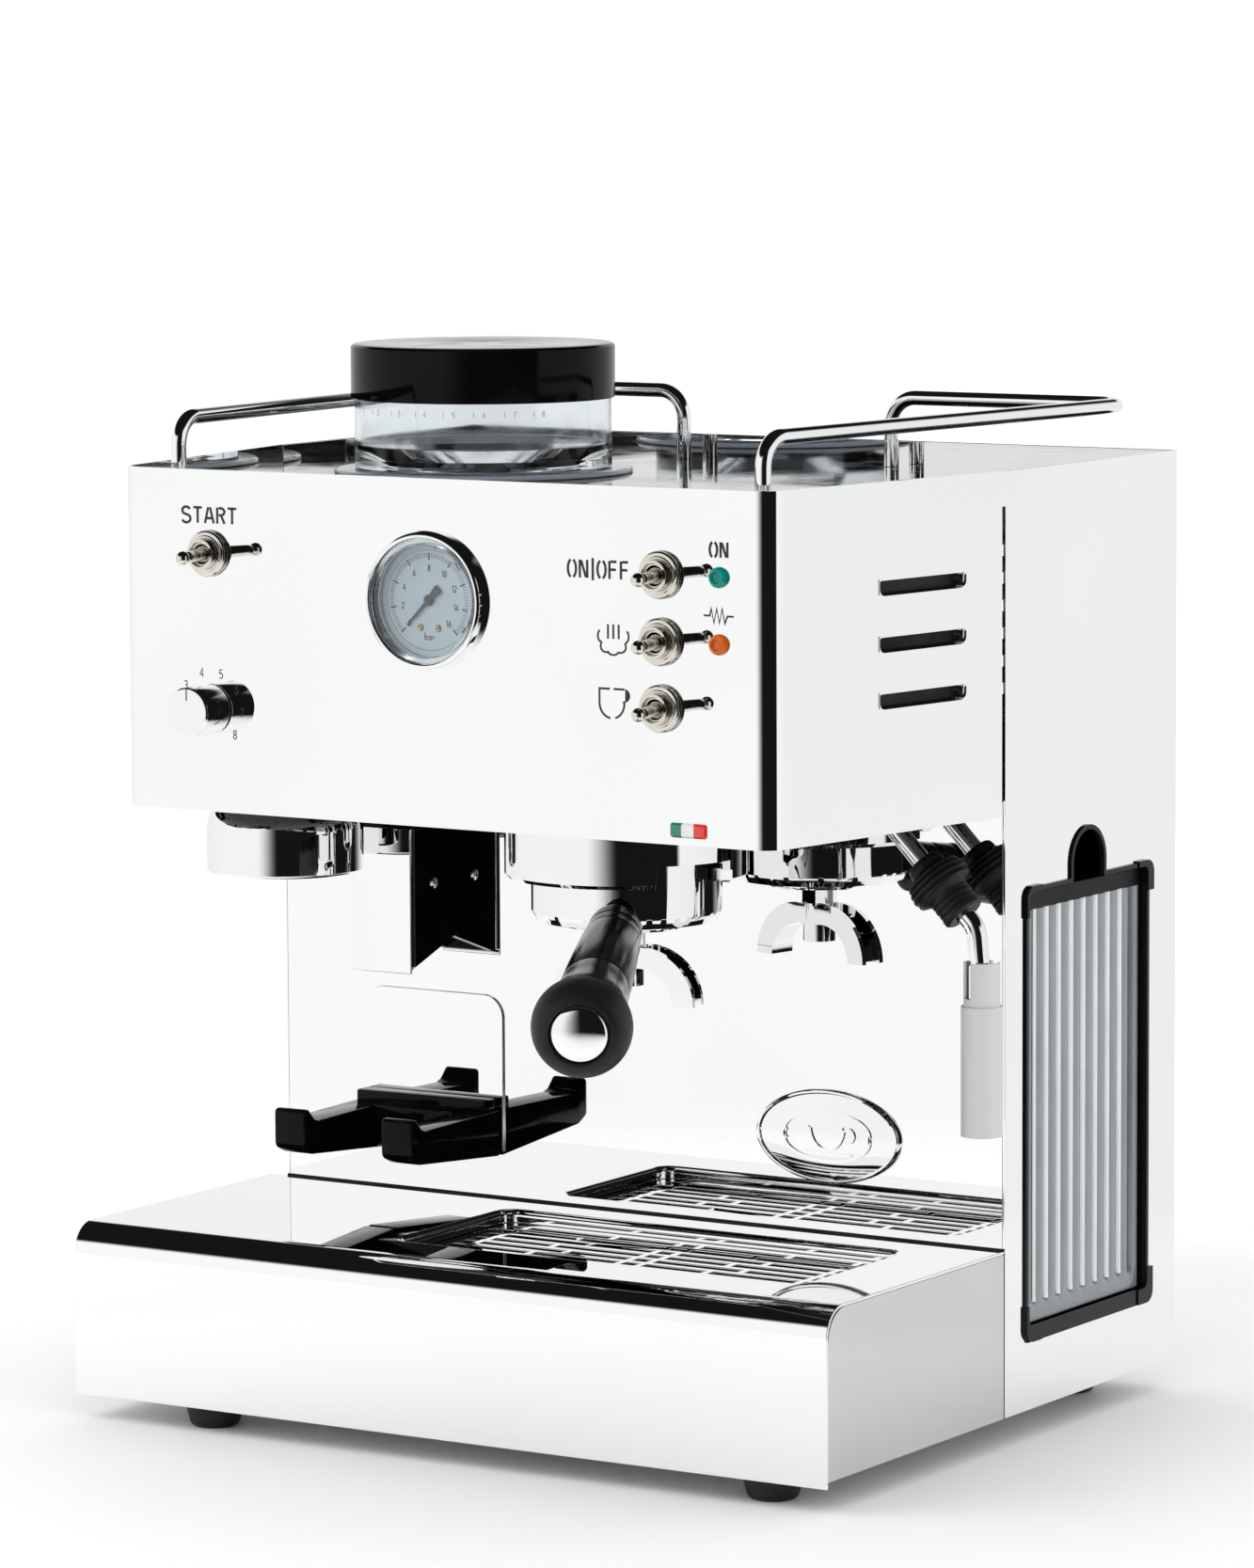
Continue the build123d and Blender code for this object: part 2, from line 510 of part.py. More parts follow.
def dose_knob():
    """Turned knob with its spindle and a pointer line."""
    y = HEAD_FRONT - 0.7
    front = y - KNOB_LEN
    knob = turned_y(KNOB_X, KNOB_Z, [(0, front), (KNOB_R - 0.7, front), (KNOB_R, front + 0.7), (KNOB_R, y), (3, y),
                                     (3, HEAD_FRONT + 8), (0, HEAD_FRONT + 8)])
    line = block((KNOB_X - 0.4, KNOB_X + 0.4), (front - 1, front + 0.4), (KNOB_Z + 4, KNOB_Z + KNOB_R + 1))
    return knob - line


# ---- grinder -----------------------------------------------------------------------------------
def at_hopper(shape):
    return Pos(HOPPER_X, HOPPER_Y, 0) * shape


def hopper_collar():
    """Flange ring that the bean bin turns in."""
    z = TOP_PLATE_Z[1]
    return at_hopper(turned([(NECK_R + 10, z), (COLLAR_R, z), (COLLAR_R, z + 1.2), (COLLAR_R - 1.2, z + 2),
                             (NECK_R + 10, z + 2)]))


def hopper_bin():
    """Clear bean bin with a funnel floor and a neck down to the burrs."""
    z, wall, neck_low = BIN_Z, 2.2, HOUSING_Z[1] + 0.5
    return at_hopper(turned([(BIN_R, z[0]), (BIN_R, z[1]), (BIN_R - wall, z[1]), (BIN_R - wall, z[0] + 9),
                             (NECK_R - wall, z[0] + 1), (NECK_R - wall, neck_low), (NECK_R, neck_low),
                             (NECK_R, z[0])]))


def hopper_lid():
    """Deep black lid over the top of the bin."""
    inner, inner_top = BIN_R + FIT, LID_TOP - 2.5
    step = BIN_Z[1] + FIT
    return at_hopper(turned([(0, LID_TOP), (LID_R - 0.8, LID_TOP), (LID_R + 0.35, LID_TOP - 0.9),
                             (LID_R + 0.35, LID_BOTTOM), (inner, LID_BOTTOM), (inner, step),
                             (inner - 5, step), (inner - 5, inner_top), (0, inner_top)]))


def grinder_housing():
    """Burr chamber with its outlet towards the chute."""
    z = HOUSING_Z
    body = at_hopper(turned([(0, z[0]), (HOUSING_R, z[0]), (HOUSING_R, z[1]), (NECK_R - 2, z[1]), (NECK_R - 2, z[1] - 8),
                             (BURR_R + 3, z[1] - 8), (BURR_R + 3, z[0] + 6), (0, z[0] + 6)]))
    body -= rod_z(HOPPER_X, HOPPER_Y, (z[0] - 1, z[0] + 7), SHAFT_R + 1)
    duct_z = (z[0] + 8, z[0] + 24)
    body += block((CHUTE_X[0] + 2, CHUTE_X[1] - 2), (-31, -8), (z[0], duct_z[1] + 2))
    body -= block((CHUTE_X[0] + 5, CHUTE_X[1] - 5), (-28, 8), duct_z)
    body -= block((CHUTE_X[0] + 5, CHUTE_X[1] - 5), (-28, -21), (z[0] - 1, duct_z[1]))
    return body


def upper_burr():
    """Fixed ring burr under the bin's neck."""
    z = HOUSING_Z[1] - 8
    return at_hopper(turned([(NECK_R - 4, z), (BURR_R + 3, z), (BURR_R + 3, z - 7), (BURR_R - 3, z - 8),
                             (NECK_R - 10, z - 3)]))


def lower_burr():
    """Turning burr with its shaft down into the motor."""
    top = HOUSING_Z[1] - 18
    return at_hopper(turned([(0, top + 4), (6, top + 3), (BURR_R - 10, top - 1), (BURR_R - 2, top - 1.5),
                             (BURR_R - 2, top - 9), (SHAFT_R, top - 10), (SHAFT_R, MOTOR_Z[0] + 12),
                             (0, MOTOR_Z[0] + 12)]))


def grinder_motor():
    """Motor with cooling fins round its can."""
    z = MOTOR_Z
    motor = rod_z(HOPPER_X, HOPPER_Y, z, MOTOR_R)
    for level in range(5):
        low = z[0] + 10 + 8 * level
        motor -= at_hopper(turned([(MOTOR_R - 2.5, low), (MOTOR_R + 1, low), (MOTOR_R + 1, low + 4),
                                   (MOTOR_R - 2.5, low + 4)]))
    return motor - rod_z(HOPPER_X, HOPPER_Y, (z[0] + 11, z[1] + 1), SHAFT_R + 0.08)


def chute_side(x, y_front, top):
    """Outline of the chute seen from the side: the lower edge climbs to the back."""
    outline = Polyline((x, y_front, CHUTE_BOTTOM), (x, y_front, top), (x, 0, top), (x, 0, CHUTE_BOTTOM + CHUTE_RISE),
                       close=True)
    return make_face(outline)


def chute_throat():
    """Black throat that guides the grounds down to the filter holder."""
    x = (CHUTE_X[0] + 0.9, CHUTE_X[1] - 0.9)
    lower = extrude(chute_side(x[0], CHUTE_FRONT + 1.1, UNDERSIDE_Z[1]), x[1] - x[0], dir=(1, 0, 0))
    upper = block(x, (-31, -16), (UNDERSIDE_Z[1], HOUSING_Z[0]))
    hollow = block((x[0] + 3, x[1] - 3), (-28, -3), (CHUTE_BOTTOM - 5, UNDERSIDE_Z[1] - 6))
    duct = block((x[0] + 3, x[1] - 3), (-28, -21), (UNDERSIDE_Z[1] - 7, HOUSING_Z[0] + 1))
    return lower + upper - hollow - duct


def chute_plate():
    """Polished plate on the front of the chute, folded a little round its sides."""
    x, y, z = CHUTE_X, CHUTE_FRONT, (CHUTE_BOTTOM - 1.0, CHUTE_PLATE_TOP)
    front = block(x, (y, y + 1.0), z)
    sides = [block((low, low + 0.8), (y, y + 3.2), (CHUTE_BOTTOM + 1.2, z[1])) for low in (x[0], x[1] - 0.8)]
    return front + sides


# ---- cup bay fittings --------------------------------------------------------------------------
def fork_rest():
    """Two-armed rest for the filter holder: hooked tips, arms deeper towards the splash panel."""
    tip, top = FORK_TIP_Y, FORK_TOP
    profile = [(0, top + 1), (tip + 10, top), (tip + 6, top + 2.2), (tip + 2, top + 5.6), (tip, top + 5.0),
               (tip, FORK_LOW_TIP + 3), (tip + 5, FORK_LOW_TIP), (0, FORK_LOW_BACK)]
    arms = []
    for low in (FORK_X[0], FORK_X[1] - FORK_ARM):
        side = make_face(Polyline(*[(low, y, z) for y, z in profile], close=True))
        arms.append(extrude(side, FORK_ARM, dir=(1, 0, 0)))
    inside = (FORK_X[0] + FORK_ARM, FORK_X[1] - FORK_ARM)
    bar = block(inside, (-15, 0), (FORK_LOW_BACK + 2, top + 1))
    ledge = block((FORK_X[0] + 2, FORK_X[1] - 2), (-9, -1.0), (top, top + 5.5))
    rest = arms[0] + arms[1] + bar + ledge
    return rest - block((FORK_X[0] - 1, FORK_X[1] + 1), (-1.0, 1), (0, top + 30))


def fork_plate():
    """Steel back plate of the rest."""
    x, z = (-126.0, -60.5), (83.0, 145.0)
    plate = block(x, (-1.0, 0), z)
    return fillet(plate.edges().filter_by(Axis.Y).group_by(Axis.Z)[-1], 9.0)


def fixed_tamper():
    """Bell-shaped tamper under the head, on a threaded stem."""
    low, r = TAMPER_BOTTOM, TAMPER_R
    crown = UNDERSIDE_Z[0]
    corner = [(r - 11 + 11 * math.cos(a), low + 17 + 11 * math.sin(a))
              for a in [math.radians(k * 15) for k in range(0, 5)]]
    points = [(0, low), (r - 0.8, low), (r, low + 0.8)] + corner + [(r - 7, crown - 1.5), (r - 9, crown), (8, crown),
                                                                   (8, crown + 14), (0, crown + 14)]
    return Pos(TAMPER_X, TAMPER_Y, 0) * turned(points)


# ---- group and filter holder -------------------------------------------------------------------
def at_group(shape):
    return Pos(GROUP_X, GROUP_Y, 0) * shape


def sector(r, z, start, sweep_angle):
    """A wedge of a disc about the group axis, used for the ears and the entry gaps."""
    steps = 8
    rim = [(r * math.cos(math.radians(start + sweep_angle * k / steps)),
            r * math.sin(math.radians(start + sweep_angle * k / steps)), z[0]) for k in range(steps + 1)]
    return at_group(extrude(make_face(Polyline((0, 0, z[0]), *rim, close=True)), z[1] - z[0], dir=(0, 0, 1)))


EAR_START = HANDLE_AZIMUTH - EAR_SPREAD / 2
ENTRY_START = EAR_START - 60.0  # where the ears can leave the ring


def group_head():
    """Bell with the bayonet ring that the filter holder locks into."""
    low, top = BELL_BOTTOM, UNDERSIDE_Z[1] + 10
    bore = HOLDER_R + 0.6
    body = at_group(turned([(bore, low), (BELL_R - 1.5, low), (BELL_R, low + 1.5), (BELL_R, UNDERSIDE_Z[1]),
                            (38, UNDERSIDE_Z[1]), (38, top), (4, top), (4, 228), (30, 228), (30, 231.5), (36.6, 231.5),
                            (36.6, EAR_Z[1] + 1.0), (EAR_R + 0.8, EAR_Z[1] + 1.0), (EAR_R + 0.8, EAR_Z[0] - 0.6),
                            (bore, EAR_Z[0] - 0.6)]))
    for half_turn in (0, 180):
        body -= sector(EAR_R + 0.8, (low - 1, EAR_Z[0]), ENTRY_START - 2 + half_turn, EAR_SPREAD + 4)
        body -= sector(BELL_R + 2, (low - 1, low + SKIRT_NOTCH[2]), SKIRT_NOTCH[0] + half_turn, SKIRT_NOTCH[1])
    return body


def shower_screen():
    """Dished screen with its centre screw."""
    return at_group(turned([(0, 224.6), (3.4, 224.6), (3.4, 226), (27.5, 226), (29.4, 228), (0, 228)]))


def group_gasket():
    """Rubber ring that the basket seals against."""
    return at_group(turned([(30.2, 223.6), (36.2, 223.6), (36.2, 231.3), (30.2, 231.3)]))


def filter_holder():
    """Chromed holder: cup, two locking ears, and the stem for the handle."""
    low, top, r = HOLDER_BOTTOM, HOLDER_TOP, HOLDER_R
    body = at_group(turned([(4, low - 0.5), (30, low - 0.5), (34, low + 1.2), (r, low + 5), (r, top), (33, top), (33, low + 4),
                            (4, low + 3)]))
    for half_turn in (0, 180):
        ear = sector(EAR_R, EAR_Z, EAR_START + half_turn, EAR_SPREAD) - rod_z(GROUP_X, GROUP_Y, (200, 230), r - 1)
        body += ear
    stem = on_handle(turned([(0, 33), (5.5, 33), (5.5, 78), (0, 78)]))
    return body + (stem - rod_z(GROUP_X, GROUP_Y, (150, 230), r - 2))


def filter_basket():
    """Steel basket with its rolled flange."""
    low, top = HOLDER_BOTTOM + 5, HOLDER_TOP
    return at_group(turned([(0, low), (31.4, low), (32.4, low + 1), (32.4, top), (35.4, top), (35.4, top + 1.2),
                            (31.6, top + 1.2), (31.6, low + 1.2), (0, low + 1.2)]))


def on_handle(shape):
    """Place a shape drawn about +Z so that Z runs from the group axis out along the handle."""
    return (Pos(GROUP_X, GROUP_Y, HANDLE_Z) * Rot(0, 0, HANDLE_AZIMUTH) * Rot(90 + HANDLE_DROOP, 0, 0)) * shape


def handle_grip():
    """Black grip, swelling towards its end, bored for the stem."""
    end = HANDLE_LEN - 21
    grip = on_handle(turned([(5.6, 42), (9.6, 42), (10.6, 44), (10.8, 60), (11.4, 61), (12.2, 90), (12.9, end - 22),
                             (13.5, end - 14), (14.6, end - 6), (15.6, end), (0, end), (0, 79), (5.6, 79)]))
    return grip - rod_z(GROUP_X, GROUP_Y, (150, 230), HOLDER_R + 1)


def handle_end_ring():
    """Rubber bumper ring at the end of the handle."""
    low, high = HANDLE_LEN - 21, HANDLE_LEN
    return on_handle(turned([(0, low), (15.6, low), (17.2, low + 3), (18.2, low + 8), (18.2, low + 13), (17.2, low + 17),
                             (15.2, high - 1.6), (12.6, high - 0.4), (10.9, high - 1.4), (10.9, high - 4), (0, high - 4)]))


def handle_end_disc():
    """Chromed dome set into the end ring."""
    high = HANDLE_LEN
    return on_handle(turned([(0, high - 4), (10.8, high - 4), (10.8, high - 1.6), (8.5, high - 0.2), (5, high + 0.8),
                             (0, high + 1.2)]))


def spout_arm():
    """One open channel: a quarter bend from the middle out and down, drawn towards +X."""
    centre = SPOUT_REACH - SPOUT_R
    ring = Pos(centre, 0, SPOUT_TIP_Z) * Rot(90, 0, 0) * (Cylinder(SPOUT_R + 4, 12) - Cylinder(SPOUT_R - 4, 12))
    groove = Pos(centre, 0, SPOUT_TIP_Z) * Rot(90, 0, 0) * (Cylinder(SPOUT_R + 6, 7.6) - Cylinder(SPOUT_R - 1.5, 7.6))
    keep = block((0, SPOUT_REACH + 10), (-10, 10), (SPOUT_TIP_Z, SPOUT_TIP_Z + 30))
    return (ring - groove) & keep


def double_spout():
    """Threaded collar, hub and the two channels."""
    top = SPOUT_TIP_Z + SPOUT_R + 4
    hub = rod_z(0, 0, (SPOUT_TIP_Z + 7, top), 6.5)
    collar = extrude(Pos(0, 0, top - 1) * RegularPolygon(7.2, 6), HOLDER_BOTTOM - 0.5 - top + 1)
    thread = rod_z(0, 0, (HOLDER_BOTTOM - 0.6, HOLDER_BOTTOM + 3), 3.95)
    arm = spout_arm()
    spout = hub + collar + thread + arm + Rot(0, 0, 180) * arm
    return at_group(Rot(0, 0, SPOUT_AZIMUTH) * spout)


# ---- steam wand --------------------------------------------------------------------------------
def wand_nut():
    """Nut under the head in which the wand swivels."""
    low, high = WAND_ELBOW[1] + 2.6, UNDERSIDE_Z[1] + 6
    nut = extrude(Pos(WAND_X, WAND_Y, low) * RegularPolygon(9, 6), UNDERSIDE_Z[0] - low)
    nut += rod_z(WAND_X, WAND_Y, (UNDERSIDE_Z[0], high), 7.0)
    return nut - rod_z(WAND_X, WAND_Y, (low - 1, high + 1), WAND_R + 0.08)


def wand_tube():
    """Bent chromed tube with the hexagonal steam tip."""
    points = [(WAND_X, WAND_Y, UNDERSIDE_Z[1] + 12), (WAND_X, WAND_Y, WAND_ELBOW[1]),
              (WAND_KNEE[0], WAND_Y, WAND_KNEE[1]), (WAND_KNEE[0] + 2.4, WAND_Y, WAND_END_Z)]
    path = FilletPolyline(*points, radius=[2.9, 10])
    tube = sweep(Plane(path @ 0, z_dir=path % 0) * Circle(WAND_R), path=path)
    tip_x = points[-1][0]
    tip = extrude(Pos(tip_x, WAND_Y, WAND_END_Z - 12) * RegularPolygon(5.6, 6), 22)
    return tube + tip


def along_wand(shape, distance):
    """Place a shape drawn about +Z on the slanted run, distance below the elbow, Z pointing up the tube."""
    dx, dz = WAND_KNEE[0] - WAND_ELBOW[0], WAND_KNEE[1] - WAND_ELBOW[1]
    length = math.hypot(dx, dz)
    x = WAND_ELBOW[0] + dx * distance / length
    z = WAND_ELBOW[1] + dz * distance / length
    return Pos(x, WAND_Y, z) * Rot(0, math.degrees(math.atan2(-dx, -dz)), 0) * shape


def wand_grip():
    """Ribbed rubber grip round the slanted run."""
    bore = WAND_R + 0.02
    points = [(bore, 0), (6.6, 0), (7.6, -1.4), (7.6, -4.4), (8.6, -5.2), (9.2, -6.0)]
    for k in range(3):
        z = -7.0 - 3.2 * k
        points += [(12.4 - 0.3 * k, z), (12.4 - 0.3 * k, z - 1.9), (10.4, z - 2.3), (10.4, z - 2.9)]
    points += [(9.4, -17.6), (8.2, -18.6), (8.2, -20.6), (7.4, -21.0), (7.4, -21.6), (7.9, -22.0), (7.6, -25.0),
               (6.4, -26.0), (bore, -26.0)]
    return along_wand(turned(points), 24.0)


def froth_sleeve():
    """White frothing sleeve, open below, with a notched upper collar."""
    x = WAND_KNEE[0] + 2.4
    low, high = SLEEVE_Z
    sleeve = rod_z(x, WAND_Y, (low, high - 6), SLEEVE_R) + rod_z(x, WAND_Y, (high - 6, SLEEVE_TOP), SLEEVE_R - 1.0)
    sleeve -= rod_z(x, WAND_Y, (low - 1, high - 14), SLEEVE_R - 1.6)
    sleeve -= rod_z(x, WAND_Y, (WAND_END_Z - 13, SLEEVE_TOP + 1), 5.75)
    slot = block((x - 12, x + 12), (WAND_Y - 2.4, WAND_Y + 2.4), (high - 3, SLEEVE_TOP + 1))
    return sleeve - Pos(x, WAND_Y, 0) * Rot(0, 0, 60) * Pos(-x, -WAND_Y, 0) * slot


# ---- inside ------------------------------------------------------------------------------------
def boiler():
    """Boiler on top of the group, with its flange, element nut and pipe stubs."""
    z = (UNDERSIDE_Z[1] + 10, 326.0)
    y = GROUP_Y + 4
    tank = rod_z(GROUP_X, y, z, 34) + rod_z(GROUP_X, y, (z[0] + 30, z[0] + 36), 38)
    cap = rod_z(GROUP_X, y, (z[1], z[1] + 8), 12)
    stub = rod_x(y, z[0] + 55, (GROUP_X + 20, GROUP_X + 46), 4)
    return tank + cap + stub


def pump():
    """Vibratory pump on its bracket."""
    y, z = 70.0, 34.0
    body = rod_x(y, z, (-58, 36), 16) + block((-34, 12), (y - 21, y + 21), (z - 18, z + 18))
    nose = rod_x(y, z, (36, 50), 5)
    legs = [block((low, low + 3), (y - 14, y + 14), (FLOOR_Z[1], z - 10)) for low in (-32, 8)]
    return body + nose + legs


# ---- all nodes ---------------------------------------------------------------------------------
def build_nodes():
    nodes = {
        "base_shell": base_shell(), "base_sides": base_sides(), "base_floor": base_floor(), "feet": feet(),
        "drip_tray": drip_tray(), "drip_grille": drip_grille(),
        "side_panel_left": side_panel_left(), "side_panel_right": side_panel_right(), "back_panel": back_panel(),
        "splash_panel": splash_panel(), "head_casing": head_casing(), "head_underside": head_underside(),
        "top_plate": top_plate(), "cup_rails": cup_rails(), "mains_inlet": mains_inlet(),
        "tank_housing": tank_housing(), "window_trim": window_trim(), "water_tank": water_tank(),
        "tank_lid": tank_lid(),
        "gauge_bezel": gauge_bezel(), "gauge_dial": gauge_dial(), "gauge_needle": gauge_needle(),
        "gauge_lens": gauge_lens(), "switch_bodies": switch_bodies(), "toggle_nuts": toggle_nuts(),
        "dose_knob": dose_knob(),
        "hopper_collar": hopper_collar(), "hopper_bin": hopper_bin(), "hopper_lid": hopper_lid(),
        "grinder_housing": grinder_housing(), "upper_burr": upper_burr(), "lower_burr": lower_burr(),
        "grinder_motor": grinder_motor(), "chute_throat": chute_throat(), "chute_plate": chute_plate(),
        "fork_rest": fork_rest(), "fork_plate": fork_plate(), "fixed_tamper": fixed_tamper(),
        "group_head": group_head(), "shower_screen": shower_screen(), "group_gasket": group_gasket(),
        "filter_holder": filter_holder(), "filter_basket": filter_basket(), "double_spout": double_spout(),
        "handle_grip": handle_grip(), "handle_end_ring": handle_end_ring(), "handle_end_disc": handle_end_disc(),
        "wand_nut": wand_nut(), "wand_tube": wand_tube(), "wand_grip": wand_grip(), "froth_sleeve": froth_sleeve(),
        "boiler": boiler(), "pump": pump(),
    }
    for name, (x, z) in TOGGLES.items():
        nodes["lever_" + name] = lever(x, z)
    for name, (x, z) in LAMPS.items():
        nodes["lamp_" + name] = lamp(x, z)
    return nodes


def to_origin(nodes):
    """The move that puts the middle of the footprint at X = Y = 0 and the soles of the feet at Z = 0."""
    boxes = [shape.bounding_box() for shape in nodes.values()]
    low_x, high_x = min(b.min.X for b in boxes), max(b.max.X for b in boxes)
    low_y, high_y = min(b.min.Y for b in boxes), max(b.max.Y for b in boxes)
    return Pos(-(low_x + high_x) / 2, -(low_y + high_y) / 2, FOOT_H)


NODES = build_nodes()
MOVE = to_origin(NODES)

if __name__ == "__main__":
    os.makedirs("parts", exist_ok=True)
    for name, shape in NODES.items():
        export_step(MOVE * shape, f"parts/{name}.step")
    print(len(NODES), "nodes, moved by", MOVE.position)
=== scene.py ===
import json
import math

import bmesh
import bpy
from mathutils import Matrix, Vector


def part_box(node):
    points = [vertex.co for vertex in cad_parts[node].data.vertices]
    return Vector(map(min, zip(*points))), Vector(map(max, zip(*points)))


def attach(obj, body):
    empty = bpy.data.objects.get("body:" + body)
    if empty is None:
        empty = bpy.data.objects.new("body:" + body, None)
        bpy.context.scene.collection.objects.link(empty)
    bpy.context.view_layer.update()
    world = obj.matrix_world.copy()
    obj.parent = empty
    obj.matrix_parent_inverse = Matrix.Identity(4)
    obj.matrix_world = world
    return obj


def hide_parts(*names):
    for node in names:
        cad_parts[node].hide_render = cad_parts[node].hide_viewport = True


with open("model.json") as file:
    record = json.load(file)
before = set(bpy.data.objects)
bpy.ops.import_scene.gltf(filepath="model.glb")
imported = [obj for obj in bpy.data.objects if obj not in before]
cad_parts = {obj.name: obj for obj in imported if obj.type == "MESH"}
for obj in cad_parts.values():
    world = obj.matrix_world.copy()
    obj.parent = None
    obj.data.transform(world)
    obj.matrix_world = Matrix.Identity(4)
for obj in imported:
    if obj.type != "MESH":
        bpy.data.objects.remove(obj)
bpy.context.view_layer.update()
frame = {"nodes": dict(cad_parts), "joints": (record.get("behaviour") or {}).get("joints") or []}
NODES = frame["nodes"]
MM = 0.001

# Sizes in mm from the middle of the body, the splash panel and the base's lower edge; angles in degrees.
LEVER_TILT = 12.6
HANDLE_TURN, HANDLE_DROOP = 26.5, 9.0
WAND_ELBOW, WAND_KNEE = (124.0, -20.0, 230.0), (163.8, -20.0, 189.5)
RUBBER_DOWN_TUBE = 24.0
LOUVRE_LEVELS, LOUVRE_MIDDLE = (320.2, 299.3, 278.5), -48.8
HEAD_FRONT_HALF, HEAD_FLARE_DEPTH = 144.2, 135.4
COLOUR_BADGE_AT, OVAL_BADGE_AT = (109.3, 235.0), (88.2, 101.9)


# ---- places, all read from the frame ------------------------------------------------------------
def low(node):
    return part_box(node)[0]


def high(node):
    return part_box(node)[1]


def middle(node):
    corner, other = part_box(node)
    return (corner + other) / 2


LEFT_SKIN, RIGHT_SKIN = low("side_panel_left").x, high("side_panel_right").x
DATUM = Vector(((LEFT_SKIN + RIGHT_SKIN) / 2, low("splash_panel").y, low("side_panel_left").z))
HEAD_FACE = low("head_casing").y
JOINT_AT = {joint["name"]: Vector(joint["pos_m"]) for joint in frame["joints"] if "pos_m" in joint}
FRONT, UP, RIGHT = Vector((0, -1, 0)), Vector((0, 0, 1)), Vector((1, 0, 0))


def spot(x, y, z):
    """A point in mm from the middle of the body, the splash panel's face and the base's lower edge."""
    return DATUM + Vector((x, y, z)) * MM


def on_head(x, z, proud=0.0):
    """A point on the head's front face."""
    return Vector((DATUM.x + x * MM, HEAD_FACE - proud * MM, DATUM.z + z * MM))


# ---- finishes -----------------------------------------------------------------------------------
def group_tree(name, inputs, outputs):
    tree = bpy.data.node_groups.new(name, "ShaderNodeTree")
    for label, kind, value in inputs:
        socket = tree.interface.new_socket(name=label, in_out="INPUT", socket_type=kind)
        socket.default_value = value
    for label, kind in outputs:
        tree.interface.new_socket(name=label, in_out="OUTPUT", socket_type=kind)
    start = tree.nodes.new("NodeGroupInput")
    end = tree.nodes.new("NodeGroupOutput")
    return tree, start.outputs, end.inputs


def place(tree, kind, **settings):
    """A new node with plain settings, and input values given by name in the dict called values."""
    values = settings.pop("values", {})
    node = tree.nodes.new(kind)
    for key, value in settings.items():
        setattr(node, key, value)
    for key, value in values.items():
        node.inputs[key].default_value = value
    return node


def blend_colours(tree, factor, first, second):
    mix = place(tree, "ShaderNodeMix", data_type="RGBA")
    for link, socket in ((factor, mix.inputs["Factor"]), (first, mix.inputs["A"]), (second, mix.inputs["B"])):
        tree.links.new(link, socket)
    return mix.outputs["Result"]


def make_handled():
    """Slow patches of tone, and finger smudges that dull the shine."""
    tree, given, made = group_tree(
        "handled_surface",
        [("Colour", "NodeSocketColor", (1, 1, 1, 1)), ("Tone", "NodeSocketColor", (1, 1, 1, 1)),
         ("Patch scale", "NodeSocketFloat", 18.0), ("Smudge scale", "NodeSocketFloat", 45.0),
         ("Shine", "NodeSocketFloat", 0.1), ("Dull", "NodeSocketFloat", 0.2)],
        [("Colour", "NodeSocketColor"), ("Roughness", "NodeSocketFloat"), ("Mask", "NodeSocketFloat")])
    where = place(tree, "ShaderNodeTexCoord").outputs["Object"]
    patch = place(tree, "ShaderNodeTexNoise", values={"Detail": 2.0, "Roughness": 0.5})
    smudge = place(tree, "ShaderNodeTexNoise", values={"Detail": 5.0, "Roughness": 0.62, "Distortion": 0.6})
    tree.links.new(where, patch.inputs["Vector"])
    tree.links.new(where, smudge.inputs["Vector"])
    tree.links.new(given["Patch scale"], patch.inputs["Scale"])
    tree.links.new(given["Smudge scale"], smudge.inputs["Scale"])
    spread = place(tree, "ShaderNodeMapRange", values={"From Min": 0.3, "From Max": 0.7})
    tree.links.new(patch.outputs["Fac"], spread.inputs["Value"])
    colour = blend_colours(tree, spread.outputs["Result"], given["Colour"], given["Tone"])
    tree.links.new(colour, made["Colour"])
    wipe = place(tree, "ShaderNodeMapRange", interpolation_type="SMOOTHSTEP",
                 values={"From Min": 0.42, "From Max": 0.74})
    tree.links.new(smudge.outputs["Fac"], wipe.inputs["Value"])
    tree.links.new(given["Shine"], wipe.inputs["To Min"])
    tree.links.new(given["Dull"], wipe.inputs["To Max"])
    tree.links.new(wipe.outputs["Result"], made["Roughness"])
    tree.links.new(smudge.outputs["Fac"], made["Mask"])
    return tree


def make_grain():
    """Fine lines or pits: a noise stretched by three scales, with slow waves under it."""
    tree, given, made = group_tree(
        "surface_grain",
        [("Stretch", "NodeSocketVector", (400, 400, 400)), ("Wave scale", "NodeSocketFloat", 12.0),
         ("Wave share", "NodeSocketFloat", 0.5)],
        [("Height", "NodeSocketFloat"), ("Fine", "NodeSocketFloat")])
    where = place(tree, "ShaderNodeTexCoord").outputs["Object"]
    scaled = place(tree, "ShaderNodeVectorMath", operation="MULTIPLY")
    tree.links.new(where, scaled.inputs[0])
    tree.links.new(given["Stretch"], scaled.inputs[1])
    fine = place(tree, "ShaderNodeTexNoise", values={"Scale": 1.0, "Detail": 3.0, "Roughness": 0.6})
    slow = place(tree, "ShaderNodeTexNoise", values={"Detail": 1.0})
    tree.links.new(scaled.outputs["Vector"], fine.inputs["Vector"])
    tree.links.new(where, slow.inputs["Vector"])
    tree.links.new(given["Wave scale"], slow.inputs["Scale"])
    both = place(tree, "ShaderNodeMix", data_type="FLOAT")
    tree.links.new(given["Wave share"], both.inputs["Factor"])
    tree.links.new(fine.outputs["Fac"], both.inputs["A"])
    tree.links.new(slow.outputs["Fac"], both.inputs["B"])
    tree.links.new(both.outputs["Result"], made["Height"])
    tree.links.new(fine.outputs["Fac"], made["Fine"])
    return tree


HANDLED, GRAIN = make_handled(), make_grain()


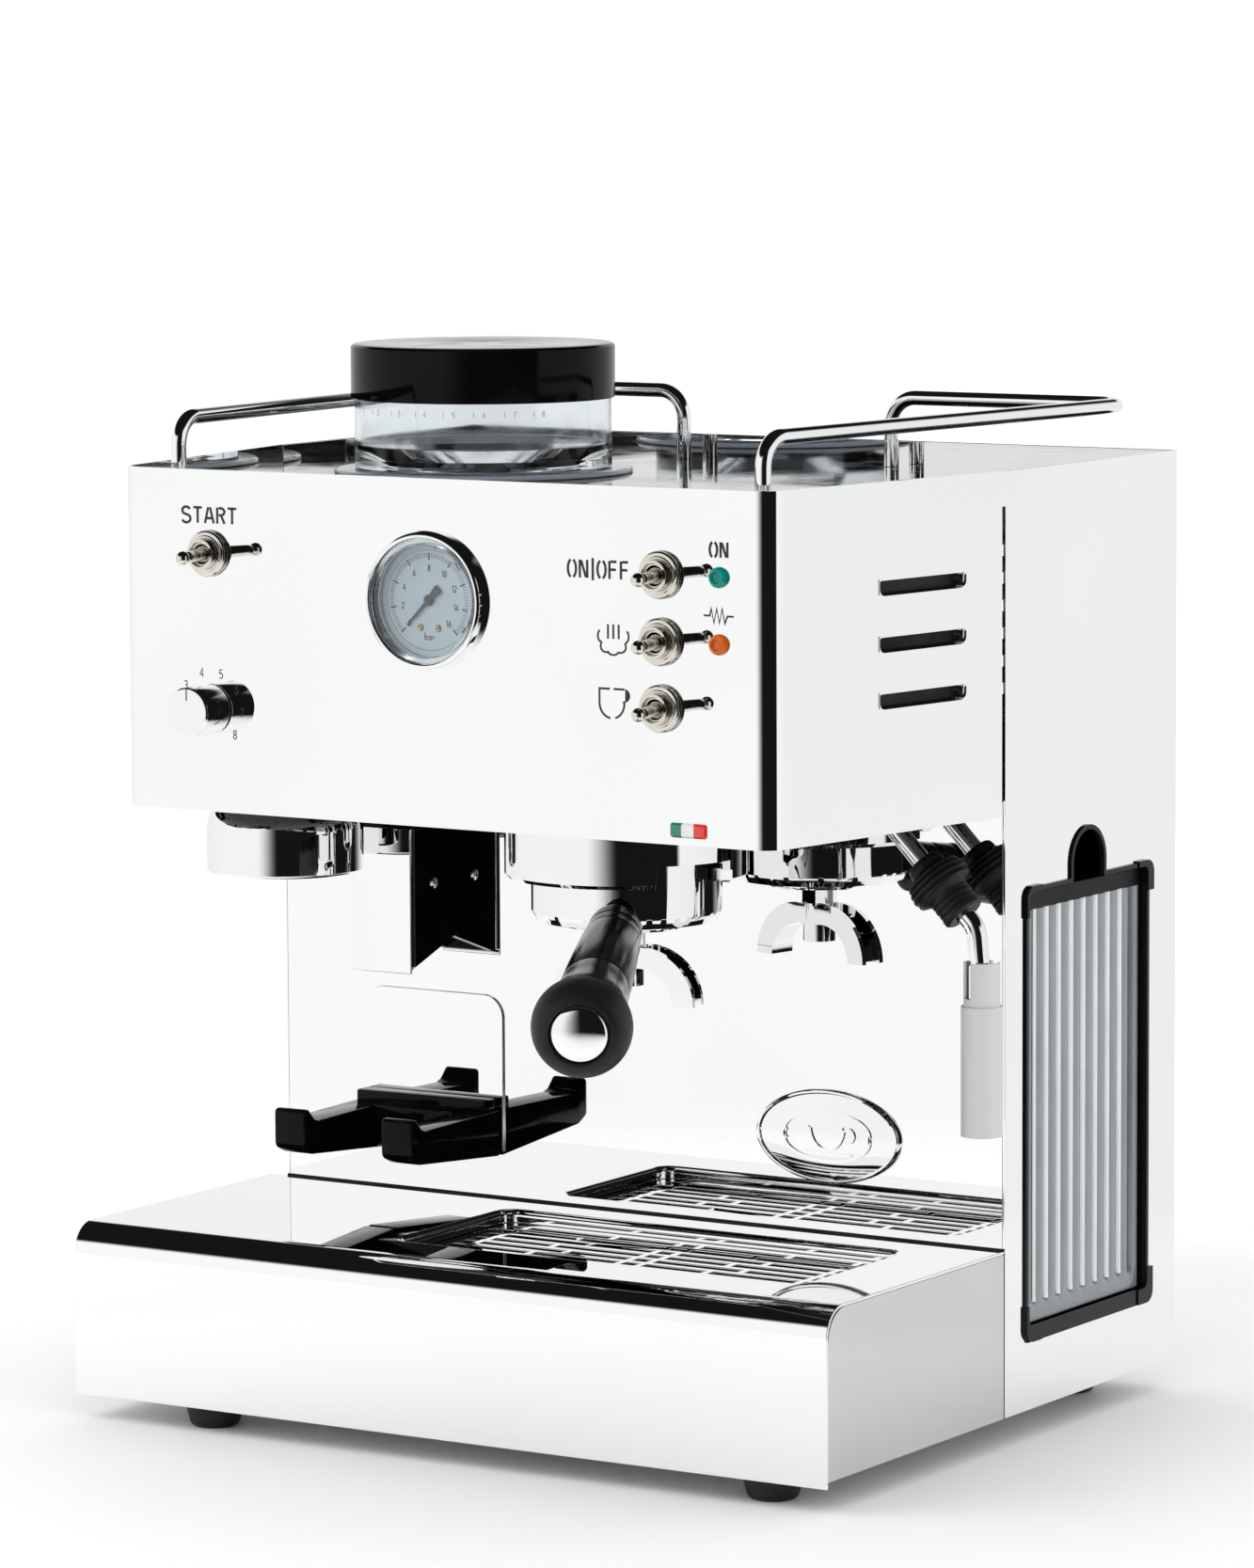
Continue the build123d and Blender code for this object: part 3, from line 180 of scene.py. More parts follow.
def finish_of(name, colour, tone, shine, dull, patch=18.0, smudge=45.0, stretch=(400, 400, 400), wave=12.0,
              share=0.5, relief=0.3, depth=0.05, clear_shadow=False, **surface):
    """A material: colour and roughness from handled_surface, relief (depth in mm) from surface_grain."""
    made = bpy.data.materials.new(name)
    made.use_nodes = True
    tree = made.node_tree
    shader = next(node for node in tree.nodes if node.type == "BSDF_PRINCIPLED")
    look = place(tree, "ShaderNodeGroup", node_tree=HANDLED)
    for label, value in (("Colour", (*colour, 1)), ("Tone", (*tone, 1)), ("Patch scale", patch),
                         ("Smudge scale", smudge), ("Shine", shine), ("Dull", dull)):
        look.inputs[label].default_value = value
    tree.links.new(look.outputs["Colour"], shader.inputs["Base Color"])
    tree.links.new(look.outputs["Roughness"], shader.inputs["Roughness"])
    grain = place(tree, "ShaderNodeGroup", node_tree=GRAIN)
    grain.inputs["Stretch"].default_value = stretch
    grain.inputs["Wave scale"].default_value = wave
    grain.inputs["Wave share"].default_value = share
    bump = place(tree, "ShaderNodeBump", values={"Strength": relief, "Distance": depth * MM})
    tree.links.new(grain.outputs["Height"], bump.inputs["Height"])
    tree.links.new(bump.outputs["Normal"], shader.inputs["Normal"])
    for key, value in surface.items():
        shader.inputs[key.replace("_", " ")].default_value = value
    if clear_shadow:
        let_light_through(tree, shader)
    return made


def let_light_through(tree, shader):
    """Clear parts let the studio light in, so that what is behind them isn't in full shadow."""
    out = next(node for node in tree.nodes if node.type == "OUTPUT_MATERIAL")
    path = place(tree, "ShaderNodeLightPath")
    through = place(tree, "ShaderNodeBsdfTransparent")
    mix = place(tree, "ShaderNodeMixShader")
    tree.links.new(path.outputs["Is Shadow Ray"], mix.inputs["Fac"])
    tree.links.new(shader.outputs["BSDF"], mix.inputs[1])
    tree.links.new(through.outputs["BSDF"], mix.inputs[2])
    tree.links.new(mix.outputs["Shader"], out.inputs["Surface"])


STEEL_LINES = (60, 60, 900)
FINISH = {
    "polished_steel": finish_of("polished_steel", (0.94, 0.945, 0.945), (0.91, 0.915, 0.915), 0.010, 0.030,
                                patch=7, smudge=26, stretch=STEEL_LINES, wave=5, share=0.9, relief=0.03,
                                depth=0.02, Metallic=1.0),
    "chrome_plate": finish_of("chrome_plate", (0.90, 0.905, 0.91), (0.87, 0.875, 0.88), 0.008, 0.03,
                              relief=0.04, depth=0.02, Metallic=1.0),
    "nickel": finish_of("nickel", (0.76, 0.73, 0.67), (0.68, 0.65, 0.58), 0.10, 0.24, patch=90, smudge=220,
                        stretch=(2500, 2500, 2500), relief=0.15, depth=0.02, Metallic=1.0),
    "plain_steel": finish_of("plain_steel", (0.74, 0.745, 0.75), (0.66, 0.665, 0.67), 0.14, 0.28,
                             stretch=(80, 1400, 80), relief=0.25, depth=0.02, Metallic=1.0),
    "gloss_black": finish_of("gloss_black", (0.002, 0.002, 0.0022), (0.004, 0.004, 0.0042), 0.06, 0.16,
                             stretch=(900, 900, 900), relief=0.08, depth=0.02, Specular_IOR_Level=0.10),
    "matte_black": finish_of("matte_black", (0.004, 0.004, 0.0042), (0.007, 0.007, 0.0072), 0.38, 0.52,
                             stretch=(1800, 1800, 1800), relief=0.4, depth=0.03, Specular_IOR_Level=0.12),
    "black_rubber": finish_of("black_rubber", (0.006, 0.0065, 0.007), (0.010, 0.0105, 0.011), 0.42, 0.60,
                              stretch=(2600, 2600, 2600), share=0.2, relief=0.5, depth=0.04,
                              Specular_IOR_Level=0.3),
    "clear_plastic": finish_of("clear_plastic", (0.93, 0.96, 0.97), (0.89, 0.93, 0.95), 0.03, 0.10,
                               relief=0.1, depth=0.03, clear_shadow=True, Transmission_Weight=1.0, IOR=1.47),
    "collar_plastic": finish_of("collar_plastic", (0.50, 0.57, 0.62), (0.42, 0.50, 0.56), 0.08, 0.18,
                                relief=0.1, depth=0.03, clear_shadow=True, Transmission_Weight=0.6, IOR=1.47),
    "lens_glass": finish_of("lens_glass", (0.93, 0.97, 0.98), (0.91, 0.95, 0.97), 0.01, 0.05,
                            relief=0.05, depth=0.02, clear_shadow=True, Transmission_Weight=1.0, IOR=1.5),
    "white_plastic": finish_of("white_plastic", (0.62, 0.62, 0.615), (0.57, 0.57, 0.56), 0.28, 0.44,
                               stretch=(700, 700, 700), relief=0.15, depth=0.03, Subsurface_Weight=0.15,
                               Subsurface_Scale=0.004),
    "dial_white": finish_of("dial_white", (0.70, 0.80, 0.86), (0.74, 0.83, 0.88), 0.35, 0.45,
                            stretch=(1500, 1500, 1500), relief=0.1, depth=0.02),
    "needle_grey": finish_of("needle_grey", (0.055, 0.062, 0.066), (0.075, 0.082, 0.086), 0.30, 0.45,
                             stretch=(1500, 1500, 1500), relief=0.15, depth=0.02),
    "green_lens": finish_of("green_lens", (0.0, 0.25, 0.185), (0.0, 0.19, 0.14), 0.05, 0.12, patch=300,
                            relief=0.1, depth=0.02, Specular_IOR_Level=0.4),
    "orange_lens": finish_of("orange_lens", (0.60, 0.125, 0.008), (0.50, 0.09, 0.004), 0.05, 0.12, patch=300,
                             relief=0.1, depth=0.02, Specular_IOR_Level=0.4),
    "cast_alloy": finish_of("cast_alloy", (0.52, 0.53, 0.54), (0.42, 0.43, 0.44), 0.38, 0.55,
                            stretch=(500, 500, 500), relief=0.6, depth=0.15, Metallic=1.0),
    "boiler_brass": finish_of("boiler_brass", (0.66, 0.47, 0.24), (0.52, 0.35, 0.17), 0.22, 0.42,
                              stretch=(90, 90, 900), relief=0.3, depth=0.05, Metallic=1.0),
    "burr_steel": finish_of("burr_steel", (0.40, 0.40, 0.41), (0.32, 0.32, 0.33), 0.28, 0.42,
                            stretch=(900, 900, 900), relief=0.4, depth=0.05, Metallic=1.0),
}
INK = finish_of("panel_ink", (0.028, 0.027, 0.026), (0.045, 0.043, 0.042), 0.35, 0.5, patch=240,
                stretch=(2000, 2000, 2000), relief=0.2, depth=0.01, Specular_IOR_Level=0.2)
# Near-black finish for joints, vent scoops and screw slots: painted shade where the real parts are dark only
# from shade.
PAINTED_GAP_SHADE = finish_of("painted_gap_shade", (0.006, 0.006, 0.006), (0.010, 0.010, 0.010), 0.6, 0.8, relief=0.2,
                     depth=0.02)
BRASS_SCREW = finish_of("dial_screw_brass", (0.62, 0.46, 0.27), (0.50, 0.36, 0.20), 0.2, 0.35, patch=400,
                        stretch=(2500, 400, 2500), relief=0.2, depth=0.01, Metallic=1.0)
RIBBED_CLEAR = finish_of("ribbed_clear", (0.34, 0.385, 0.405), (0.27, 0.31, 0.33), 0.04, 0.12, patch=30,
                         relief=0.1, depth=0.02, clear_shadow=True, Transmission_Weight=0.35, IOR=1.5,
                         Coat_Weight=0.5, Coat_Roughness=0.03)
# Light and dark copies of the tank plastic for chosen flute faces: painted highlight and painted shade.
FLUTE_PAINTED_HIGHLIGHT = finish_of("flute_painted_highlight", (0.88, 0.905, 0.915), (0.80, 0.83, 0.845), 0.05, 0.12, patch=40,
                        relief=0.1, depth=0.02, Transmission_Weight=0.1, IOR=1.5)
FLUTE_PAINTED_SHADE = finish_of("flute_painted_shade", (0.13, 0.145, 0.155), (0.18, 0.20, 0.21), 0.05, 0.12, patch=40,
                        relief=0.1, depth=0.02, Transmission_Weight=0.3, IOR=1.5)
GRIP_BLACK = finish_of("grip_black", (0.004, 0.004, 0.0045), (0.007, 0.007, 0.0075), 0.16, 0.21,
                       stretch=(1500, 1500, 1500), relief=0.15, depth=0.02, Specular_IOR_Level=0.16)
FAINT_MARK = finish_of("faint_mark", (0.45, 0.47, 0.49), (0.40, 0.42, 0.44), 0.3, 0.4, relief=0.1, depth=0.01)
# Darker, slightly green copy of the polished steel for the base sides: painted shade standing in for the
# darker reflection there.
BASE_SIDE_PAINTED_SHADE = finish_of("base_side_steel_painted_shade", (0.56, 0.58, 0.565), (0.66, 0.675, 0.665), 0.03, 0.10, patch=9,
                            smudge=30, stretch=(30, 30, 500), relief=0.1, depth=0.05, Metallic=1.0)
TOP_STEEL = finish_of("shaded_top_steel", (0.20, 0.205, 0.21), (0.27, 0.275, 0.28), 0.04, 0.12, patch=12,
                      relief=0.1, depth=0.03, Metallic=1.0)
BADGE_GREEN = finish_of("badge_green", (0.01, 0.20, 0.11), (0.01, 0.16, 0.09), 0.08, 0.2, patch=200,
                        Coat_Weight=0.8, Coat_Roughness=0.03)
BADGE_WHITE = finish_of("badge_white", (0.72, 0.72, 0.72), (0.66, 0.66, 0.67), 0.12, 0.3, patch=200,
                        Coat_Weight=0.8, Coat_Roughness=0.03)
BADGE_RED = finish_of("badge_red", (0.72, 0.03, 0.02), (0.60, 0.02, 0.02), 0.08, 0.2, patch=200,
                      Coat_Weight=0.8, Coat_Roughness=0.03)

SHADED_STEEL = finish_of("shaded_underside_steel", (0.030, 0.031, 0.032), (0.045, 0.046, 0.048), 0.08, 0.18,
                         patch=12, relief=0.1, depth=0.03, Metallic=1.0)

SLOT_OF = {}
for node_name, node in NODES.items():
    SLOT_OF[node_name] = node.material_slots[0].material.name.split(".")[0]
    for holder in node.material_slots:
        holder.material = FINISH[holder.material.name.split(".")[0]]


# ---- mesh tools ---------------------------------------------------------------------------------
def as_piece(name, mesh, body, slot, *replaced, material=None):
    """Give a finished mesh its finish, its body and the CAD nodes it stands for."""
    if not mesh.materials:
        mesh.materials.append(material or FINISH[slot])
    piece = bpy.data.objects.new(name, mesh)
    bpy.context.scene.collection.objects.link(piece)
    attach(piece, body)
    if replaced:
        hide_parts(*replaced)
    return piece


def from_bmesh(name, build, sharp=32.0, recalc=True):
    """Close a bmesh into a mesh with smooth faces and sharp edges above an angle."""
    bmesh.ops.remove_doubles(build, verts=build.verts, dist=2e-6)
    if recalc:
        bmesh.ops.recalc_face_normals(build, faces=build.faces)
    mesh = bpy.data.meshes.new(name)
    build.to_mesh(mesh)
    build.free()
    mesh.shade_smooth()
    mesh.set_sharp_from_angle(angle=math.radians(sharp))
    return mesh


def eased(points, radii, steps=4, closed=True):
    """Round the corners of a 2D outline. radii is one number or one for each point."""
    count = len(points)
    radii = [radii] * count if isinstance(radii, (int, float)) else radii
    made = []
    for index, here in enumerate(points):
        radius = radii[index]
        if radius <= 0 or (not closed and index in (0, count - 1)):
            made.append(here)
            continue
        corner = Vector(here)
        before, after = Vector(points[index - 1]) - corner, Vector(points[(index + 1) % count]) - corner
        half = before.angle(after) / 2
        if half > math.radians(88) or before.length < 1e-6 or after.length < 1e-6:
            made.append(here)
            continue
        reach = min(radius / math.tan(half), before.length * 0.49, after.length * 0.49)
        radius = reach * math.tan(half)
        centre = corner + (before.normalized() + after.normalized()).normalized() * (radius / math.sin(half))
        first = corner + before.normalized() * reach - centre
        last = corner + after.normalized() * reach - centre
        turn = first.angle_signed(last)
        for step in range(steps + 1):
            angle = -turn * step / steps
            c, s = math.cos(angle), math.sin(angle)
            made.append((centre.x + first.x * c - first.y * s, centre.y + first.x * s + first.y * c))
    return made


def basis(axis, up=None):
    """Rotation that turns Z to axis, with its X as near as possible to up."""
    axis = Vector(axis).normalized()
    side = Vector(up) if up is not None else (RIGHT if abs(axis.x) < 0.9 else UP)
    side = (side - axis * side.dot(axis)).normalized()
    return Matrix((side, axis.cross(side), axis)).transposed()


def add_lathe(build, outline, centre, axis, steps=72, closed=True):
    """Turn an outline of (radius, height) in mm about axis through centre."""
    turn = basis(axis)
    rings = []
    for step in range(steps):
        angle = 2 * math.pi * step / steps
        c, s = math.cos(angle), math.sin(angle)
        rings.append([build.verts.new(centre + turn @ (Vector((r * c, r * s, h)) * MM)) for r, h in outline])
    spans = len(outline) if closed else len(outline) - 1
    for step in range(steps):
        ring, following = rings[step], rings[(step + 1) % steps]
        for index in range(spans):
            after = (index + 1) % len(outline)
            if outline[index][0] < 1e-6 and outline[after][0] < 1e-6:
                continue
            build.faces.new((ring[index], following[index], following[after], ring[after]))


def lathe(name, outline, centre, axis, steps=72, radii=0.0, sharp=32.0, arc=4):
    build = bmesh.new()
    shape = eased(outline, radii, arc) if radii else outline
    shape = [(max(r, 0.0), h) for r, h in shape]
    add_lathe(build, shape, centre, axis, steps)
    return from_bmesh(name, build, sharp)


def add_prism(build, outline, centre, axis, thickness, up=None):
    """A flat outline of (u, v) in mm, raised along axis; u follows up."""
    turn = basis(axis, up)
    floor = [build.verts.new(centre + turn @ (Vector((u, v, 0)) * MM)) for u, v in outline]
    roof = [build.verts.new(centre + turn @ (Vector((u, v, thickness)) * MM)) for u, v in outline]
    build.faces.new(roof)
    build.faces.new(floor[::-1])
    for index in range(len(outline)):
        after = (index + 1) % len(outline)
        build.faces.new((floor[index], floor[after], roof[after], roof[index]))


def softened(name, node, width, segments=2, angle=28.0, sharp=40.0):
    """A copy of a CAD node with its hard edges rounded."""
    mesh = NODES[node].data.copy()
    build = bmesh.new()
    build.from_mesh(mesh)
    bmesh.ops.remove_doubles(build, verts=build.verts, dist=4e-6)
    bmesh.ops.dissolve_limit(build, angle_limit=math.radians(0.6), verts=build.verts, edges=build.edges)
    build.to_mesh(mesh)
    build.free()
    mesh.shade_smooth()
    worked = bpy.data.objects.new(name, mesh)
    bpy.context.scene.collection.objects.link(worked)
    bevel = worked.modifiers.new("edges", "BEVEL")
    bevel.width, bevel.segments, bevel.limit_method = width * MM, segments, "ANGLE"
    bevel.angle_limit, bevel.harden_normals = math.radians(angle), False
    bevel.use_clamp_overlap = True
    rounded = bpy.data.meshes.new_from_object(worked.evaluated_get(bpy.context.evaluated_depsgraph_get()))
    worked.modifiers.remove(bevel)
    rounded.shade_smooth()
    rounded.set_sharp_from_angle(angle=math.radians(sharp))
    worked.data = rounded
    weigh = worked.modifiers.new("flat_faces", "WEIGHTED_NORMAL")
    weigh.mode, weigh.weight, weigh.keep_sharp = "FACE_AREA", 90, True
    done = bpy.data.meshes.new_from_object(worked.evaluated_get(bpy.context.evaluated_depsgraph_get()))
    bpy.data.objects.remove(worked)
    done.name = name
    return done


def soften_node(node, width, body="machine", material=None, **options):
    """Stand in for a CAD node with a copy whose edges are rounded."""
    mesh = softened(node + "_shell", node, width, **options)
    mesh.materials.clear()
    return as_piece(node + "_shell", mesh, body, SLOT_OF[node], node, material=material)


# ---- drawn lines and letters --------------------------------------------------------------------
def arc(cx, cy, rx, ry, start, stop, steps=14):
    return [(cx + rx * math.cos(math.radians(start + (stop - start) * k / steps)),
             cy + ry * math.sin(math.radians(start + (stop - start) * k / steps))) for k in range(steps + 1)]


STROKES = {
    "S": [arc(0.25, 0.75, 0.23, 0.23, 20, 265) + arc(0.25, 0.25, 0.25, 0.25, 85, -160)],
    "T": [[(0.0, 0.96), (0.5, 0.96)], [(0.25, 0.93), (0.25, 0.0)]],
    "A": [[(0.0, 0.0), (0.20, 1.0)], [(0.52, 0.0), (0.31, 1.0)], [(0.12, 0.32), (0.40, 0.32)]],
    "R": [[(0.05, 0.0), (0.05, 1.0)], [(0.14, 0.96)] + arc(0.24, 0.74, 0.24, 0.22, 90, -90) + [(0.14, 0.52)],
          [(0.30, 0.46), (0.48, 0.0)]],
    "O": [arc(0.25, 0.5, 0.24, 0.5, 108, 252), arc(0.25, 0.5, 0.24, 0.5, 72, -72)],
    "N": [[(0.04, 0.0), (0.04, 1.0)], [(0.12, 0.96), (0.40, 0.04)], [(0.48, 0.0), (0.48, 1.0)]],
    "F": [[(0.04, 0.0), (0.04, 1.0)], [(0.12, 0.96), (0.46, 0.96)], [(0.12, 0.52), (0.42, 0.52)]],
    "|": [[(0.13, -0.12), (0.13, 1.12)]],
    "0": [arc(0.25, 0.5, 0.22, 0.47, 90, 450, 24)],
    "1": [[(0.10, 0.78), (0.28, 0.97), (0.28, 0.0)]],
    "2": [arc(0.25, 0.72, 0.22, 0.25, 165, -35) + [(0.04, 0.03), (0.48, 0.03)]],
    "3": [arc(0.24, 0.75, 0.20, 0.22, 155, -85) + arc(0.24, 0.27, 0.23, 0.25, 85, -155)],
    "4": [[(0.36, 0.0), (0.36, 0.97), (0.03, 0.28), (0.50, 0.28)]],
    "5": [[(0.45, 0.97), (0.10, 0.97), (0.06, 0.54)] + arc(0.24, 0.31, 0.22, 0.29, 130, -150)],
    "6": [[(0.36, 0.97)] + arc(0.26, 0.29, 0.22, 0.27, 165, 525, 24)],
    "7": [[(0.03, 0.97), (0.47, 0.97), (0.18, 0.0)]],
    "8": [arc(0.25, 0.74, 0.18, 0.22, 90, 450, 20), arc(0.25, 0.26, 0.22, 0.25, 90, 450, 20)],
    "b": [[(0.05, 1.0), (0.05, 0.0)], arc(0.25, 0.26, 0.20, 0.25, 150, -150)],
    "a": [[(0.44, 0.5), (0.44, 0.0)], arc(0.24, 0.26, 0.20, 0.25, 30, 330)],
    "r": [[(0.08, 0.5), (0.08, 0.0)], arc(0.28, 0.28, 0.20, 0.22, 160, 60, 8)],
    " ": [],
}
ADVANCE = {"|": 0.40, "1": 0.52, " ": 0.4, "r": 0.5}


def add_ribbon(build, path, width, thick, put):
    """A thin raised band of even width along a 2D path."""
    points = [Vector(p) for p in path]
    closed = (points[0] - points[-1]).length < 1e-4
    if closed:
        points.pop()
    count, sides = len(points), []
    for index, here in enumerate(points):
        before = points[index - 1] if (closed or index) else here
        after = points[(index + 1) % count] if (closed or index < count - 1) else here
        into, out = here - before, after - here
        into = into.normalized() if into.length > 1e-9 else out.normalized()
        out = out.normalized() if out.length > 1e-9 else into
        along = (into + out).normalized() if (into + out).length > 1e-6 else out
        across = Vector((-along.y, along.x))
        reach = width / 2 / max(math.sqrt((1 + into.dot(out)) / 2), 0.45)
        sides.append([build.verts.new(put(p.x, p.y, w)) for p, w in (
            (here + across * reach, 0), (here - across * reach, 0),
            (here - across * reach, thick), (here + across * reach, thick))])
    for index in range(count if closed else count - 1):
        one, two = sides[index], sides[(index + 1) % count]
        for a in range(4):
            b = (a + 1) % 4
            build.faces.new((one[a], one[b], two[b], two[a]))
    if not closed:
        build.faces.new(sides[0][::-1])
        build.faces.new(sides[-1])


def text_width(text, size, stretch):
    return sum(ADVANCE.get(c, 0.68) for c in text) * size * stretch - 0.18 * size * stretch


def add_text(build, text, centre, size, width, put, stretch=1.0, thick=0.06):
    """Letters drawn with one stroke width, centred on (u, v), size mm high."""
    u = centre[0] - text_width(text, size, stretch) / 2
    v = centre[1] - size / 2
    for letter in text:
        for stroke in STROKES[letter]:
            path = [(u + x * size * stretch, v + y * size) for x, y in stroke]
            add_ribbon(build, path, width, thick, put)
        u += ADVANCE.get(letter, 0.68) * size * stretch


def flat_on(origin, right, up, out):
    """put() for add_ribbon: u to the right, v up, w out of the face, in mm from origin."""
    return lambda u, v, w: origin + (right * u + up * v + out * w) * MM


PANEL_PUT = flat_on(on_head(0, 0, 0.02), RIGHT, UP, FRONT)


# ---- repeated shapes, made by geometry nodes ----------------------------------------------------
def node_tree(name, inputs):
    tree = bpy.data.node_groups.new(name, "GeometryNodeTree")
    for label, kind, value in inputs:
        socket = tree.interface.new_socket(name=label, in_out="INPUT", socket_type=kind)
        if value is not None:
            socket.default_value = value
    tree.interface.new_socket(name="Geometry", in_out="OUTPUT", socket_type="NodeSocketGeometry")
    return tree, tree.nodes.new("NodeGroupInput").outputs, tree.nodes.new("NodeGroupOutput").inputs


def chain(tree, kind, source, socket="Geometry", **settings):
    node = place(tree, kind, **settings)
    tree.links.new(source, node.inputs[socket])
    return node


def make_dial_ring():
    """Copies of one item round an arc in the XZ plane, each turned to face outwards."""
    tree, given, made = node_tree("ring_of_items", [
        ("Geometry", "NodeSocketGeometry", None), ("Count", "NodeSocketInt", 12),
        ("Radius", "NodeSocketFloat", 0.01), ("Start", "NodeSocketFloat", 0.0),
        ("Step", "NodeSocketFloat", 0.1), ("Material", "NodeSocketMaterial", None)])
    points = place(tree, "GeometryNodePoints")
    tree.links.new(given["Count"], points.inputs["Count"])
    index = place(tree, "GeometryNodeInputIndex")
    angle = place(tree, "ShaderNodeMath", operation="MULTIPLY_ADD")
    tree.links.new(index.outputs["Index"], angle.inputs[0])
    tree.links.new(given["Step"], angle.inputs[1])
    tree.links.new(given["Start"], angle.inputs[2])
    parts = {}
    for label, operation in (("X", "COSINE"), ("Z", "SINE")):
        wave = place(tree, "ShaderNodeMath", operation=operation)
        tree.links.new(angle.outputs["Value"], wave.inputs[0])
        reach = place(tree, "ShaderNodeMath", operation="MULTIPLY")
        tree.links.new(wave.outputs["Value"], reach.inputs[0])
        tree.links.new(given["Radius"], reach.inputs[1])
        parts[label] = reach.outputs["Value"]
    where = place(tree, "ShaderNodeCombineXYZ")
    tree.links.new(parts["X"], where.inputs["X"])
    tree.links.new(parts["Z"], where.inputs["Z"])
    moved = chain(tree, "GeometryNodeSetPosition", points.outputs["Points"])
    tree.links.new(where.outputs["Vector"], moved.inputs["Position"])
    back = place(tree, "ShaderNodeMath", operation="MULTIPLY", values={1: -1.0})
    tree.links.new(angle.outputs["Value"], back.inputs[0])
    turn = place(tree, "ShaderNodeCombineXYZ")
    tree.links.new(back.outputs["Value"], turn.inputs["Y"])
    copies = chain(tree, "GeometryNodeInstanceOnPoints", moved.outputs["Geometry"], "Points")
    tree.links.new(given["Geometry"], copies.inputs["Instance"])
    tree.links.new(turn.outputs["Vector"], copies.inputs["Rotation"])
    real = chain(tree, "GeometryNodeRealizeInstances", copies.outputs["Instances"])
    painted = chain(tree, "GeometryNodeSetMaterial", real.outputs["Geometry"])
    tree.links.new(given["Material"], painted.inputs["Material"])
    tree.links.new(painted.outputs["Geometry"], made["Geometry"])
    return tree


def make_scatter():
    """One item set on every vertex of the host mesh."""
    tree, given, made = node_tree("item_on_points", [
        ("Geometry", "NodeSocketGeometry", None), ("Item", "NodeSocketObject", None),
        ("Material", "NodeSocketMaterial", None)])
    item = place(tree, "GeometryNodeObjectInfo")
    tree.links.new(given["Item"], item.inputs["Object"])
    copies = chain(tree, "GeometryNodeInstanceOnPoints", given["Geometry"], "Points")
    tree.links.new(item.outputs["Geometry"], copies.inputs["Instance"])
    real = chain(tree, "GeometryNodeRealizeInstances", copies.outputs["Instances"])
    painted = chain(tree, "GeometryNodeSetMaterial", real.outputs["Geometry"])
    tree.links.new(given["Material"], painted.inputs["Material"])
    tree.links.new(painted.outputs["Geometry"], made["Geometry"])
    return tree


RING_OF, ON_POINTS = make_dial_ring(), make_scatter()


def grown(name, host_mesh, tree, values):
    """Run a geometry tree on a mesh and return the plain result."""
    host = bpy.data.objects.new(name, host_mesh)
    bpy.context.scene.collection.objects.link(host)
    modifier = host.modifiers.new("grow", "NODES")
    modifier.node_group = tree
    sockets = {item.name: item.identifier for item in tree.interface.items_tree if item.in_out == "INPUT"}
    for label, value in values.items():
        modifier[sockets[label]] = value
    bpy.context.view_layer.update()
    done = bpy.data.meshes.new_from_object(host.evaluated_get(bpy.context.evaluated_depsgraph_get()))
    bpy.data.objects.remove(host)
    done.name = name
    return done


def ring_of(name, item, count, radius, start, step, centre, material):
    """Items drawn at the origin with X outwards and Y into the panel, set round centre."""
    done = grown(name, item, RING_OF, {"Count": count, "Radius": radius * MM, "Start": math.radians(start),
                                       "Step": math.radians(step), "Material": material})
    done.transform(Matrix.Translation(centre))
    return done


def on_points(name, places, item_mesh, material):
    item = bpy.data.objects.new(name + "_item", item_mesh)
    bpy.context.scene.collection.objects.link(item)
    host = bpy.data.meshes.new(name)
    host.from_pydata([tuple(p) for p in places], [], [])
    done = grown(name, host, ON_POINTS, {"Item": item, "Material": material})
    bpy.data.objects.remove(item)
    return done


def joined(name, *meshes, sharp=32.0):
    """One mesh from several, each keeping its material."""
    build, materials = bmesh.new(), []
    for mesh in meshes:
        start = len(build.faces)
        build.from_mesh(mesh)
        build.faces.ensure_lookup_table()
        for face in build.faces[start:]:
            used = mesh.materials[face.material_index] if mesh.materials else None
            if used not in materials:
                materials.append(used)
            face.material_index = materials.index(used)
    done = bpy.data.meshes.new(name)
    build.to_mesh(done)
    build.free()
    for material in materials:
        done.materials.append(material)
    done.shade_smooth()
    done.set_sharp_from_angle(angle=math.radians(sharp))
    return done


def painted(mesh, material):
    mesh.materials.clear()
    mesh.materials.append(material)
    return mesh


def small_block(x, y, z, ease=0.0):
    """A little block about the origin from three half sizes or (low, high) pairs in mm."""
    spans = [(-s, s) if isinstance(s, (int, float)) else s for s in (x, y, z)]
    build = bmesh.new()
    bmesh.ops.create_cube(build, size=1)
    for vert in build.verts:
        vert.co = Vector([(lo + hi) / 2 + c * (hi - lo) for c, (lo, hi) in zip(vert.co, spans)]) * MM
    if ease:
        bmesh.ops.bevel(build, geom=build.edges, offset=ease * MM, segments=2, affect="EDGES", profile=0.5)
    return from_bmesh("block", build)


